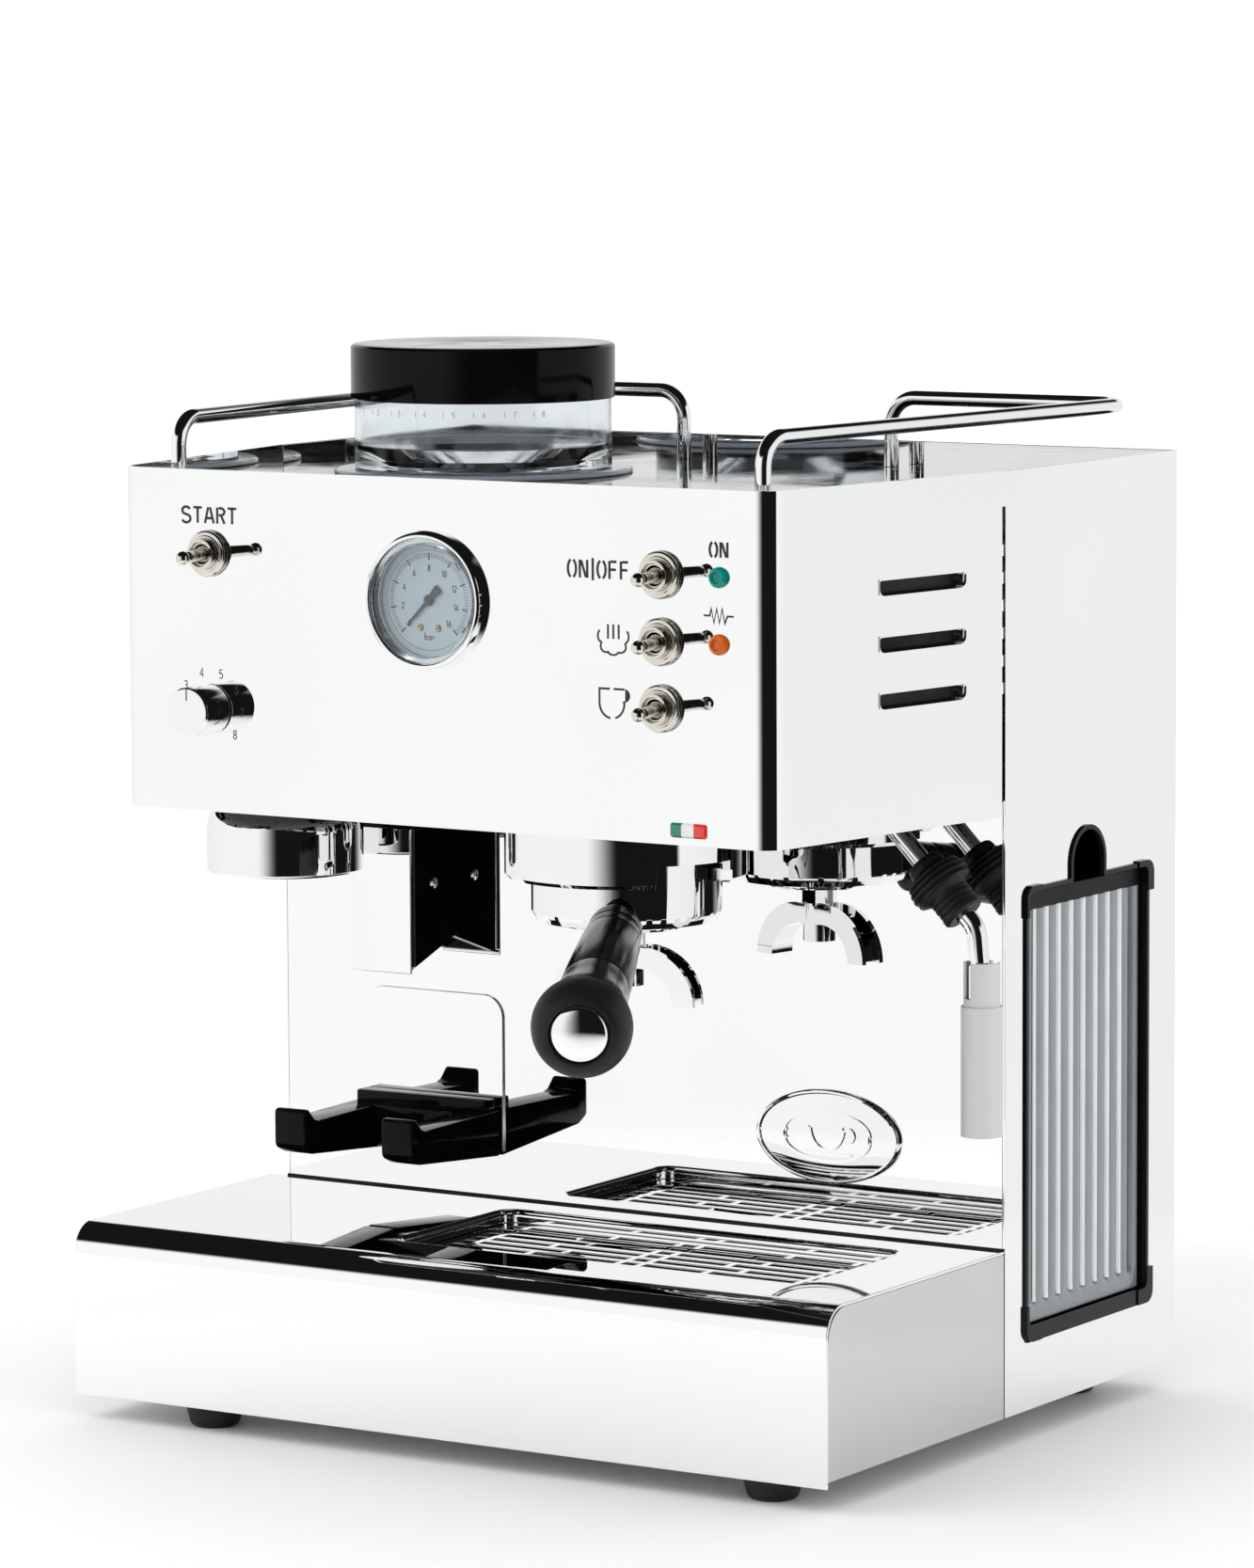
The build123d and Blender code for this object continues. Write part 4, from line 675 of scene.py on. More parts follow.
# ---- panel printing -----------------------------------------------------------------------------
def panel_print():
    build = bmesh.new()
    start_z = (JOINT_AT["start_toggle"].z - DATUM.z) / MM
    up_z = (JOINT_AT["power_toggle"].z - DATUM.z) / MM
    mid_z = (JOINT_AT["steam_toggle"].z - DATUM.z) / MM
    low_z = (JOINT_AT["coffee_toggle"].z - DATUM.z) / MM
    stroke = 1.0
    add_text(build, "START", (-102.8, start_z + 14.4), 6.1, stroke, PANEL_PUT, 1.28)
    add_text(build, "ON|OFF", (71.0, up_z + 0.9), 6.6, stroke, PANEL_PUT, 1.10)
    add_text(build, "ON", (122.4, up_z + 10.0), 5.6, stroke, PANEL_PUT, 1.15)
    zig = [(116.0, 0), (118.6, 0)] + [(119.2 + 1.15 * k, 2.7 if k % 2 == 0 else -2.7) for k in range(6)]
    zig += [(126.0, 0), (128.7, 0)]
    add_ribbon(build, [(u, v + mid_z + 10.4) for u, v in zig], 0.7, 0.06, PANEL_PUT)
    cloud_u, cloud_v = 77.4, mid_z - 0.8
    for lobe in (arc(-5.0, 1.9, 1.7, 2.3, 120, 262, 8) + arc(-3.2, -1.9, 2.3, 2.2, 150, 300, 8),
                 arc(-0.1, -3.4, 2.4, 1.6, 200, 345, 8),
                 arc(3.1, -1.9, 2.3, 2.2, -110, 30, 8) + arc(5.0, 1.9, 1.6, 2.3, -70, 60, 8)):
        add_ribbon(build, [(cloud_u + u, cloud_v + v) for u, v in lobe], 0.75, 0.06, PANEL_PUT)
    for bar in (-2.3, 0.0, 2.3):
        steam_line = [(cloud_u + bar, cloud_v + 0.9), (cloud_u + bar, cloud_v + 6.2)]
        add_ribbon(build, steam_line, 0.8, 0.06, PANEL_PUT)
    cup_u, cup_v = 77.0, low_z + 0.9
    for line in ([(-1.2, 5.2), (-5.7, 5.2), (-5.7, 0.0)] + arc(-0.3, 0.0, 5.4, 5.6, 180, 262, 10),
                 [(0.4, 5.2), (5.0, 5.2)], arc(-0.3, 0.0, 5.3, 5.6, -75, 0, 10) + [(4.6, 0.8)]):
        add_ribbon(build, [(cup_u + u, cup_v + v) for u, v in line], 0.8, 0.06, PANEL_PUT)
    ear = [(5.0, 5.4)] + arc(5.0, 2.9, 2.5, 2.5, 90, -90, 10) + [(5.4, 0.4), (5.4, 4.9)]
    add_prism(build, [(cup_v + v, -(cup_u + u)) for u, v in ear],
              on_head(0, 0, 0.02), FRONT, 0.06, UP)
    knob_u = (JOINT_AT["dose_turn"].x - DATUM.x) / MM
    knob_v = (JOINT_AT["dose_turn"].z - DATUM.z) / MM
    for number in range(1, 9):
        angle = math.radians(216 - 36.5 * (number - 1))
        at = (knob_u + 14.4 * math.cos(angle), knob_v + 14.4 * math.sin(angle))
        add_text(build, str(number), at, 3.5, 0.36, PANEL_PUT, 0.95)
    mesh = from_bmesh("panel_lettering", build, recalc=True)
    as_piece("panel_lettering", mesh, "machine", "needle_grey", material=INK)


# ---- pressure gauge -----------------------------------------------------------------------------
def gauge():
    rim = middle("gauge_bezel")
    centre = Vector((rim.x, HEAD_FACE, rim.z))
    dial_y = low("gauge_dial").y
    ring = [(23.1, 0.0), (26.0, 0.0), (26.0, 2.2), (25.4, 4.0), (24.4, 4.8), (23.6, 4.5), (23.1, 3.4)]
    case = [(21.2, 0.6), (23.1, 0.6), (23.1, 0.0), (22.1, 0.0), (22.1, -20.0), (0, -20.0), (0, -18.8),
            (20.9, -18.8), (20.9, -2.2), (21.2, -2.2)]
    as_piece("gauge_rim", lathe("gauge_rim", ring, centre, FRONT, 96, [0, 0, 1.2, 1.4, 1.0, 0.8, 0.2], 50),
             "machine", "chrome_plate", "gauge_bezel")
    as_piece("gauge_case", lathe("gauge_case", case, centre, FRONT, 96), "machine", "plain_steel")
    face = Vector((rim.x, dial_y, rim.z))
    fine_tick = small_block((-1.8, 0.0), (-0.03, 0.0), 0.11)
    bold_tick = small_block((-2.7, 0.0), (-0.04, 0.0), 0.27)
    fine = ring_of("fine_ticks", fine_tick, 81, 17.6, -45, 3.375, face, INK)
    bold = ring_of("bold_ticks", bold_tick, 9, 17.6, -45, 33.75, face, INK)
    build = bmesh.new()
    put = flat_on(face + FRONT * 0.01 * MM, RIGHT, UP, FRONT)
    for step in range(9):
        angle = math.radians(225 - 33.75 * step)
        reach = 12.0 if step else 12.6
        number_at = (reach * math.cos(angle), reach * math.sin(angle))
        add_text(build, str(2 * step), number_at, 2.4, 0.36, put, 0.85, 0.03)
    add_text(build, "bar", (0, -13.4), 2.7, 0.34, put, 0.95, 0.03)
    circle = arc(0, 0, 18.7, 18.7, 0, 360, 96)
    add_ribbon(build, circle, 0.12, 0.03, put)
    words = painted(from_bmesh("dial_words", build), INK)
    as_piece("dial_print", joined("dial_print", fine, bold, words), "machine", "needle_grey")
    head = [(0, 0.55), (1.0, 0.5), (1.35, 0.15), (1.35, 0)]
    screws = []
    for side in (-3.9, 3.9):
        at = face + (RIGHT * side - UP * 10.3) * MM
        screws.append(painted(lathe("dial_screw", head + [(0, 0)], at, FRONT, 24), BRASS_SCREW))
        # The screw's slot is a near-black bar: painted shade for the recess.
        slot = small_block(1.15, (-0.6, -0.45), 0.16)
        slot_turn = math.radians(38 if side < 0 else -24)
        slot.transform(Matrix.Translation(at) @ Matrix.Rotation(slot_turn, 4, "Y"))
        screws.append(painted(slot, PAINTED_GAP_SHADE))
    as_piece("dial_screws", joined("dial_screws", *screws), "machine", "boiler_brass")


def needle():
    pivot = JOINT_AT["needle_sweep"].copy()
    pivot.y = low("gauge_needle").y
    build = bmesh.new()
    turn = Matrix.Rotation(math.radians(-225), 3, "Y")
    shape = [(13.5, 0.28), (2.2, 0.62), (0.6, 1.0), (-1.2, 1.0), (-6.0, 1.75), (-6.6, 1.6), (-6.6, -1.6),
             (-6.0, -1.75), (-1.2, -1.0), (0.6, -1.0), (2.2, -0.62), (13.5, -0.28)]
    front = [build.verts.new(pivot + turn @ (Vector((x, 0.05, z)) * MM)) for x, z in shape]
    back = [build.verts.new(pivot + turn @ (Vector((x, 0.55, z)) * MM)) for x, z in shape]
    build.faces.new(front)
    build.faces.new(back[::-1])
    for index in range(len(shape)):
        after = (index + 1) % len(shape)
        build.faces.new((front[index], front[after], back[after], back[index]))
    hub = [(0, 0.0), (0.5, -0.02), (0.7, -0.1), (1.7, -0.1), (2.1, -0.35), (2.1, -0.58), (0.85, -0.58),
           (0.85, -6.0), (0, -6.0)]
    add_lathe(build, hub, pivot, FRONT, 32)
    as_piece("needle", from_bmesh("needle", build), "gauge_needle", "needle_grey", "gauge_needle")


# ---- switches, lamps and knob -------------------------------------------------------------------
def switches():
    nuts, funnels, knurls = [], [], []
    tooth = small_block((-0.2, 0.22), 0.62, 0.2)
    for name in ("start", "power", "steam", "coffee"):
        pivot = JOINT_AT[name + "_toggle"]
        centre = Vector((pivot.x, HEAD_FACE, pivot.z))
        ring = [(5.95, 0), (8.55, 0), (8.55, 1.9), (8.1, 2.4), (6.95, 2.4), (6.75, 3.1), (5.95, 3.1)]
        nuts.append(lathe("ring_nut", ring, centre, FRONT, 64, [0, 0.15, 0.3, 0.3, 0.1, 0.2, 0.1]))
        funnel = [(5.9, 0.0), (5.9, 3.9), (5.3, 4.5), (4.6, 4.5), (4.3, 4.9), (3.85, 4.9), (3.7, 4.2),
                  (3.7, -3.0), (5.9, -3.0)]
        easing = [0, 0.3, 0.1, 0.1, 0.1, 0.1, 0, 0, 0]
        funnels.append(lathe("switch_bushing", funnel, centre, FRONT, 48, easing))
        at = centre + FRONT * 1.05 * MM
        knurls.append(ring_of("knurl", tooth.copy(), 60, 8.6, 0, 6.0, at, FINISH["nickel"]))
        lever(name, pivot)
    for mesh in nuts + funnels:
        painted(mesh, FINISH["nickel"])
    as_piece("ring_nuts", joined("ring_nuts", *nuts, *knurls), "machine", "nickel", "toggle_nuts")
    as_piece("switch_bushings", joined("switch_bushings", *funnels), "machine", "nickel")


def lever(name, pivot):
    """Ball pivot, waisted shank and a ball tip, leaning to the right."""
    tilt = math.radians(LEVER_TILT)
    axis = Vector((math.sin(tilt), -math.cos(tilt), 0))
    tip, ball = 21.9, 2.65
    head = [(ball * math.sin(math.radians(a)), tip + ball * math.cos(math.radians(a)))
            for a in range(0, 145, 12)]
    shank = [(2.1, tip - 3.0), (2.1, tip - 5.5), (2.3, 9.0), (2.5, 5.6), (2.9, 4.4), (3.4, 2.6), (3.5, 0),
             (3.2, -1.6), (2.1, -2.8), (0, -3.2)]
    mesh = lathe("lever_" + name + "_arm", head + shank, pivot, axis, 40, sharp=60)
    as_piece("lever_" + name + "_arm", mesh, "lever_" + name, "nickel", "lever_" + name)


def lamps():
    for name, slot in (("lamp_power", "green_lens"), ("lamp_heater", "orange_lens")):
        at = middle(name)
        centre = Vector((at.x, HEAD_FACE, at.z))
        lens = [(0, 1.2), (2.0, 1.2), (2.3, 2.5), (2.9, 2.4), (3.6, 1.6), (3.9, 0.5), (3.9, 0.0), (3.1, 0.0),
                (3.1, -9.0), (0, -9.0)]
        easing = [0, 0.1, 0.2, 0.4, 0.4, 0, 0, 0, 0, 0]
        turned = lathe(name + "_lens", lens, centre, FRONT, 40, easing)
        as_piece(name + "_lens", turned, "machine", slot, name)


def knob():
    pivot = JOINT_AT["dose_turn"]
    front = low("dose_knob").y
    centre = Vector((pivot.x, front, pivot.z))
    length = (HEAD_FACE - front) / MM - 0.7
    body = [(0, 0.0), (8.9, 0.0), (9.5, -0.6), (9.5, -length), (3.0, -length), (3.0, -length - 8.7),
            (0, -length - 8.7)]
    turned = lathe("knob_body", body, centre, FRONT, 96, [0, 0.15, 0.2, 0.3, 0, 0, 0])
    build = bmesh.new()
    put = flat_on(centre + FRONT * 0.01 * MM, RIGHT, UP, FRONT)
    add_ribbon(build, [(0, 4.6), (0, 8.85)], 0.55, 0.03, put)
    side = flat_on(centre + UP * 9.5 * MM, RIGHT, -FRONT, UP)
    add_ribbon(build, [(0, 0.6), (0, 4.0)], 0.55, 0.03, side)
    mark = painted(from_bmesh("knob_mark", build), INK)
    marked_knob = joined("knob", painted(turned, FINISH["chrome_plate"]), mark)
    as_piece("knob", marked_knob, "dose_knob", "chrome_plate", "dose_knob")


# ---- badges -------------------------------------------------------------------------------------
def badges():
    """A small three-colour enamel badge on the head, and a plain raised oval on the splash panel."""
    centre_u, centre_v = COLOUR_BADGE_AT
    wide, tall, height = 15.8, 5.4, 1.0
    build = bmesh.new()
    columns, rows = 30, 10
    grid = []
    for i in range(columns + 1):
        line = []
        for j in range(rows + 1):
            u, v = (i / columns - 0.5) * 2, (j / rows - 0.5) * 2
            round_off = 1 - 0.10 * abs(v) ** 8
            dome = max(0.0, (1 - abs(u) ** 10) * (1 - abs(v) ** 6)) ** 0.5
            line.append(build.verts.new(on_head(centre_u + u * wide / 2 * round_off,
                                                centre_v + v * tall / 2, 0.05 + height * dome)))
        grid.append(line)
    for i in range(columns):
        for j in range(rows):
            face = build.faces.new((grid[i][j], grid[i + 1][j], grid[i + 1][j + 1], grid[i][j + 1]))
            face.material_index = i * 3 // columns
    mesh = bpy.data.meshes.new("colour_badge")
    bmesh.ops.recalc_face_normals(build, faces=build.faces)
    if sum(face.normal.y for face in build.faces) > 0:
        bmesh.ops.reverse_faces(build, faces=build.faces)
    build.to_mesh(mesh)
    build.free()
    for material in (BADGE_GREEN, BADGE_WHITE, BADGE_RED):
        mesh.materials.append(material)
    mesh.shade_smooth()
    as_piece("colour_badge", mesh, "machine", "chrome_plate")

    middle_u, middle_v = OVAL_BADGE_AT
    half_u, half_v = 31.6, 18.2
    build = bmesh.new()
    levels = [(1.0, 0.0), (1.0, 1.4), (0.985, 2.0), (0.955, 2.3), (0.925, 2.2), (0.905, 1.6), (0.895, 1.15),
              (0.70, 1.35), (0.45, 1.5), (0.2, 1.58), (0.0, 1.6)]
    steps = 96
    rings = []
    for share, proud in levels:
        ring = []
        for step in range(steps):
            angle = 2 * math.pi * step / steps
            inset = (1 - share) * half_v
            ring.append(build.verts.new(spot(middle_u + (half_u - inset) * math.cos(angle) * (share > 0),
                                             -proud, middle_v + (half_v - inset) * math.sin(angle))))
        rings.append(ring)
    for ring, following in zip(rings, rings[1:]):
        for step in range(steps):
            after = (step + 1) % steps
            build.faces.new((ring[step], ring[after], following[after], following[step]))
    put = flat_on(spot(middle_u, -1.35, middle_v), RIGHT, UP, FRONT)
    for line in (arc(0, 1.0, 19.0, 8.6, 200, -20, 30), arc(0, -1.0, 19.0, 8.6, 160, 380, 30)):
        add_ribbon(build, line, 0.9, 0.75, put)
    cup = [(-7.5, 3.6)] + arc(0, 3.6, 7.5, 9.0, 180, 360, 18) + [(7.5, 3.6), (-7.5, 3.6)]
    add_ribbon(build, cup, 1.0, 0.9, put)
    add_ribbon(build, arc(8.6, 0.8, 3.4, 2.9, 110, -110, 12), 0.9, 0.9, put)
    add_ribbon(build, [(-11.0, -6.6), (11.0, -6.6)], 0.9, 0.8, put)
    mesh = from_bmesh("oval_badge", build, 40)
    as_piece("oval_badge", mesh, "machine", "chrome_plate")


# ---- casings and sheet parts --------------------------------------------------------------------
def casings():
    for node, width in (("base_shell", 0.35), ("head_casing", 0.35), ("side_panel_left", 0.35),
                        ("side_panel_right", 0.35), ("back_panel", 0.35), ("fork_plate", 0.25),
                        ("chute_plate", 0.4), ("chute_throat", 0.4), ("fixed_tamper", 0.5), ("feet", 0.8),
                        ("mains_inlet", 0.4), ("cup_rails", 0.2)):
        soften_node(node, width)
    soften_node("head_underside", 0.3, material=SHADED_STEEL)
    soften_node("switch_bodies", 0.3, material=FINISH["nickel"])
    soften_node("window_trim", 0.3, material=GRIP_BLACK)
    # The base sides get the darkened steel: painted shade.
    soften_node("base_sides", 0.3, material=BASE_SIDE_PAINTED_SHADE)
    soften_node("top_plate", 0.3, material=TOP_STEEL)
    soften_node("group_head", 0.6)
    soften_node("filter_holder", 0.6, "filter_holder", segments=3)
    soften_node("double_spout", 0.7, "filter_holder", segments=3)
    soften_node("froth_sleeve", 0.45, "steam_wand")
    soften_node("wand_nut", 0.5, "steam_wand")
    soften_node("wand_tube", 0.25, "steam_wand")
    soften_node("tank_lid", 0.6, "water_tank")
    soften_node("drip_grille", 0.35, "drip_grille")


def fork_rest():
    """Two-armed rest with rounded hooks, from the box of the rest alone."""
    corner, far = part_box("fork_rest")
    width, arm = (far.x - corner.x) / MM, 14.5
    tip, back = (corner.y - DATUM.y) / MM, -1.0
    base, level = (corner.z - DATUM.z) / MM, (far.z - DATUM.z) / MM - 5.6
    profile = [(back, level + 1), (tip + 11, level), (tip + 7.5, level + 1.0), (tip + 3.2, level + 5.4),
               (tip, level + 5.0), (tip, base + 7.5), (tip + 6, base + 4.6), (back, base)]
    round_off = [0.6, 3.0, 3.0, 1.8, 1.8, 3.0, 4.0, 0.8]
    build = bmesh.new()
    for side in (0, width - arm):
        part = bmesh.new()
        shape = [(z, -y) for y, z in eased(profile, round_off, 4)]
        add_prism(part, shape, Vector((corner.x + side * MM, DATUM.y, DATUM.z)), RIGHT, arm, UP)
        bmesh.ops.recalc_face_normals(part, faces=part.faces)
        rims = [edge for edge in part.edges if abs(edge.verts[0].co.x - edge.verts[1].co.x) < 1e-6]
        bmesh.ops.bevel(part, geom=rims, offset=0.9 * MM, segments=3, affect="EDGES", profile=0.5)
        spare = bpy.data.meshes.new("arm")
        part.to_mesh(spare)
        part.free()
        build.from_mesh(spare)
    blocks = (((arm - 0.5, width - arm + 0.5), (-15, back), (base + 2, level + 1)),
              ((2, width - 2), (-9, back), (level - 0.5, level + 5.5)))
    for x, y, z in blocks:
        spans = [(start / MM + low_end, start / MM + high_end)
                 for start, (low_end, high_end) in zip((corner.x, DATUM.y, DATUM.z), (x, y, z))]
        piece = small_block(*spans, 0.8)
        build.from_mesh(piece)
    mesh = from_bmesh("fork_arms", build, 40)
    as_piece("fork_arms", mesh, "machine", "gloss_black", "fork_rest")


def seams():
    """Near-black strips in the joints where the deck meets the splash panel and the base meets the body:
    painted shade in the gaps.
    """
    deck = (high("base_shell").z - DATUM.z) / MM
    half = (RIGHT_SKIN - LEFT_SKIN) / 2 / MM
    strips = []
    for x, y, z in (((-half, half), (-0.45, -0.02), (deck, deck + 0.8)),
                    ((half - 0.3, half + 0.04), (-0.75, -0.05), (0.0, deck - 0.4))):
        strip = small_block(x, y, z)
        strip.transform(Matrix.Translation(DATUM))
        strips.append(strip)
    as_piece("seam_strips", joined("seam_strips", *(painted(strip, PAINTED_GAP_SHADE) for strip in strips)), "machine",
             "matte_black")


def screw_item(radius, height):
    """A domed screw head with a cross slot, its top along Z."""
    head = lathe("screw_head", [(0, height), (radius * 0.55, height * 0.92), (radius * 0.9, height * 0.5),
                                (radius, 0), (0, 0)], Vector((0, 0, 0)), UP, 20)
    # The cross slot is two near-black bars on the dome: painted shade for the recess.
    cross = [small_block(radius * 0.6, radius * 0.12, (height * 0.86, height * 1.02)),
             small_block(radius * 0.12, radius * 0.6, (height * 0.86, height * 1.02))]
    return joined("screw", painted(head, FINISH["plain_steel"]), *(painted(bar, PAINTED_GAP_SHADE) for bar in cross))


def screws():
    """Screws of the back panel, and the one that holds the chute."""
    back = high("back_panel")
    half = (RIGHT_SKIN - LEFT_SKIN) / 2 - 9 * MM
    levels = (low("back_panel").z + 14 * MM, middle("back_panel").z, back.z - 14 * MM)
    item = screw_item(3.2, 1.5)
    item.transform(Matrix.Rotation(math.radians(-90), 4, "X"))
    places = [Vector((DATUM.x + side * half, back.y - 1.2 * MM, level))
              for side in (-1, 1) for level in levels]
    back_screws = on_points("back_screws", places, item, FINISH["plain_steel"])
    as_piece("back_screws", back_screws, "machine", "plain_steel")
    chute = high("chute_throat")
    small = screw_item(2.3, 1.2)
    small.transform(Matrix.Rotation(math.radians(90), 4, "Y"))
    at = [Vector((chute.x - 0.1 * MM, DATUM.y - 14.5 * MM, DATUM.z + 190 * MM))]
    chute_screw = on_points("chute_screw", at, small, FINISH["plain_steel"])
    as_piece("chute_screw", chute_screw, "machine", "plain_steel")


def louvres():
    """Pressed lips round the three vent slots of the head's right side, with scoops behind whose inner faces
    are near black: painted shade inside the vents.
    """
    side = high("head_casing").x
    rear, fore, half_gap = -74.4, -23.2, 3.3
    for index, level in enumerate(LOUVRE_LEVELS):
        build = bmesh.new()
        outline = eased([(rear, level - half_gap), (fore, level - half_gap), (fore, level + half_gap),
                         (rear, level + half_gap)], [2.8, 2.8, 1.0, 1.0], 5)
        centre_u, centre_v = LOUVRE_MIDDLE, level
        levels = [(0.0, -0.05), (0.35, 0.16), (0.9, 0.02), (1.1, -1.2), (1.5, -5.0)]
        rings = []
        for inset, proud in levels:
            ring = []
            for u, v in outline:
                du, dv = u - centre_u, v - centre_v
                su, sv = (abs(du) - inset + 0.45) / abs(du), (abs(dv) - inset + 0.45) / abs(dv) if dv else 1
                at = spot(0, centre_u + du * su, centre_v + dv * sv)
                at.x = slope_x(centre_u + du * su, side) + proud * MM
                ring.append(build.verts.new(at))
            rings.append(ring)
        for ring, following in zip(rings, rings[1:]):
            for k in range(len(ring)):
                after = (k + 1) % len(ring)
                build.faces.new((ring[k], ring[after], following[after], following[k]))
        build.faces.new(rings[-1])
        mesh = from_bmesh("louvre_" + str(index + 1), build, 60, recalc=False)
        mesh.materials.append(FINISH["polished_steel"])
        mesh.materials.append(PAINTED_GAP_SHADE)
        # Faces deeper than this get the near-black finish: painted shade inside the scoops.
        scoop = slope_x(LOUVRE_MIDDLE, side) - 4.0 * MM
        for face in mesh.polygons:
            face.material_index = int(min(mesh.vertices[v].co.x for v in face.vertices) < scoop)
        as_piece("louvre_" + str(index + 1), mesh, "machine", "polished_steel")


def slope_x(y, side):
    """X of the head's flared right face, y in mm from the splash panel."""
    share = (-y) / HEAD_FLARE_DEPTH
    return side + (DATUM.x + HEAD_FRONT_HALF * MM - side) * share


def fluted_tank():
    """Clear tank with eight rounded flutes down its window side, with painted highlight strips on the flute
    crests and painted shade strips in the flute valleys and on the flat strip before them.
    """
    corner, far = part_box("water_tank")
    wall, flutes, pitch, dip = 2.4 * MM, 8, 9.8 * MM, 2.7 * MM
    first = corner.y + 9.4 * MM
    side = []
    for flute in range(flutes):
        for step in range(10):
            share = (1 - math.cos(math.pi * step / 10)) / 2
            side.append((first + (flute + share) * pitch, 1 - math.sqrt(max(0.0, 1 - (2 * share - 1) ** 2))))
    side.append((first + flutes * pitch, 1.0))
    side = [(corner.y + 2.2 * MM, 0.0), (first - 1.6 * MM, 0.0), (first - 0.5 * MM, 0.3)] + side
    side += [(side[-1][0] + 0.5 * MM, 0.3), (side[-1][0] + 1.3 * MM, 0.0), (far.y - 2.2 * MM, 0.0)]
    outline = [(corner.x, corner.y, 0), (far.x - 2.2 * MM, corner.y, 0),
               (far.x - 0.6 * MM, corner.y + 0.6 * MM, 0)]
    outline += [(far.x, y, depth) for y, depth in side]
    outline += [(far.x - 0.6 * MM, far.y - 0.6 * MM, 0), (far.x - 2.2 * MM, far.y, 0), (corner.x, far.y, 0)]
    levels = [(0.0, 0.0), (1.5, 0.0), (6.0, 0.0), (6.5, 0.35), (7.2, 0.65), (8.4, 0.9), (10.0, 1.0)]
    heights = [(corner.z + rise * MM, share) for rise, share in levels] + [(far.z, 1.0)]
    build = bmesh.new()
    rings = [[build.verts.new((x - depth * dip * share, y, z)) for x, y, depth in outline]
             for z, share in heights]
    inside_x, inside_y = (corner.x + wall, far.x - dip - 1.2 * MM), (corner.y + wall, far.y - wall)
    for z in (far.z, corner.z + wall):
        rings.append([build.verts.new((min(max(x, inside_x[0]), inside_x[1]),
                                       min(max(y, inside_y[0]), inside_y[1]), z)) for x, y, depth in outline])
    for ring, following in zip(rings, rings[1:]):
        for k in range(len(outline)):
            after = (k + 1) % len(outline)
            build.faces.new((ring[k], ring[after], following[after], following[k]))
    build.faces.new(rings[0])
    build.faces.new(rings[-1])
    mesh = from_bmesh("fluted_tank", build, 50)
    for material in (RIBBED_CLEAR, FLUTE_PAINTED_HIGHLIGHT, FLUTE_PAINTED_SHADE):
        mesh.materials.append(material)
    end = first + flutes * pitch
    # Flute-side faces get a lighter copy (painted highlight) or a darker copy (painted shade) by their place
    # across each flute; the flat strip before the flutes gets painted shade.
    for face in mesh.polygons:
        across = (face.center.y - first) / pitch
        if face.normal.x < 0.2 or face.center.x < far.x - dip - 0.3 * MM or face.center.z < corner.z + 7 * MM:
            continue
        if face.center.y < first - 0.2 * MM:
            face.material_index = 2
        elif face.center.y < end:
            share = across - math.floor(across)
            bright, shaded = 0.02 < share < 0.26, 0.62 < share < 0.74 or share > 0.93
            face.material_index = 1 if bright else (2 if shaded else 0)
    as_piece("fluted_tank", mesh, "water_tank", "clear_plastic", "water_tank", material=RIBBED_CLEAR)


# ---- brewing group handle, wand and hopper ------------------------------------------------------
def handle():
    root = middle("group_gasket")
    root.z = low("filter_basket").z + 4 * MM
    turn, droop = math.radians(HANDLE_TURN), math.radians(HANDLE_DROOP)
    axis = Vector((math.sin(turn) * math.cos(droop), -math.cos(turn) * math.cos(droop), -math.sin(droop)))
    grip = [(5.6, 42), (9.2, 42), (10.0, 42.8), (10.2, 45), (10.3, 51), (9.8, 51.5), (9.8, 52.3),
            (10.4, 52.8), (10.7, 60), (10.2, 60.5), (10.2, 61.3), (11.0, 61.8), (12.2, 92), (12.7, 118),
            (12.2, 118.5), (12.2, 119.3), (12.8, 119.8), (13.1, 128), (13.8, 136), (14.8, 143), (15.8, 151),
            (0, 151), (0, 79), (5.6, 79)]
    as_piece("grip", lathe("grip", grip, root, axis, 72, 0.3, 40), "filter_holder", "matte_black",
             "handle_grip", material=GRIP_BLACK)
    ring = [(0, 151), (15.2, 151)]
    ring += [(11.6 + 6.6 * math.cos(math.radians(a)), 161.4 + 10.2 * math.sin(math.radians(a)))
             for a in range(-62, 100, 9)]
    ring += [(10.9, 170.9), (10.9, 168), (0, 168)]
    as_piece("bumper_ring", lathe("bumper_ring", ring, root, axis, 96, 0, 50), "filter_holder",
             "black_rubber", "handle_end_ring")
    dome = [(0, 168), (10.8, 168), (10.8, 170.0)]
    dome += [(10.6 * math.cos(math.radians(a)), 170.2 + 3.0 * math.sin(math.radians(a)))
             for a in range(10, 90, 10)]
    as_piece("end_dome", lathe("end_dome", dome + [(0, 173.2)], root, axis, 72, 0, 50), "filter_holder",
             "chrome_plate", "handle_end_disc")


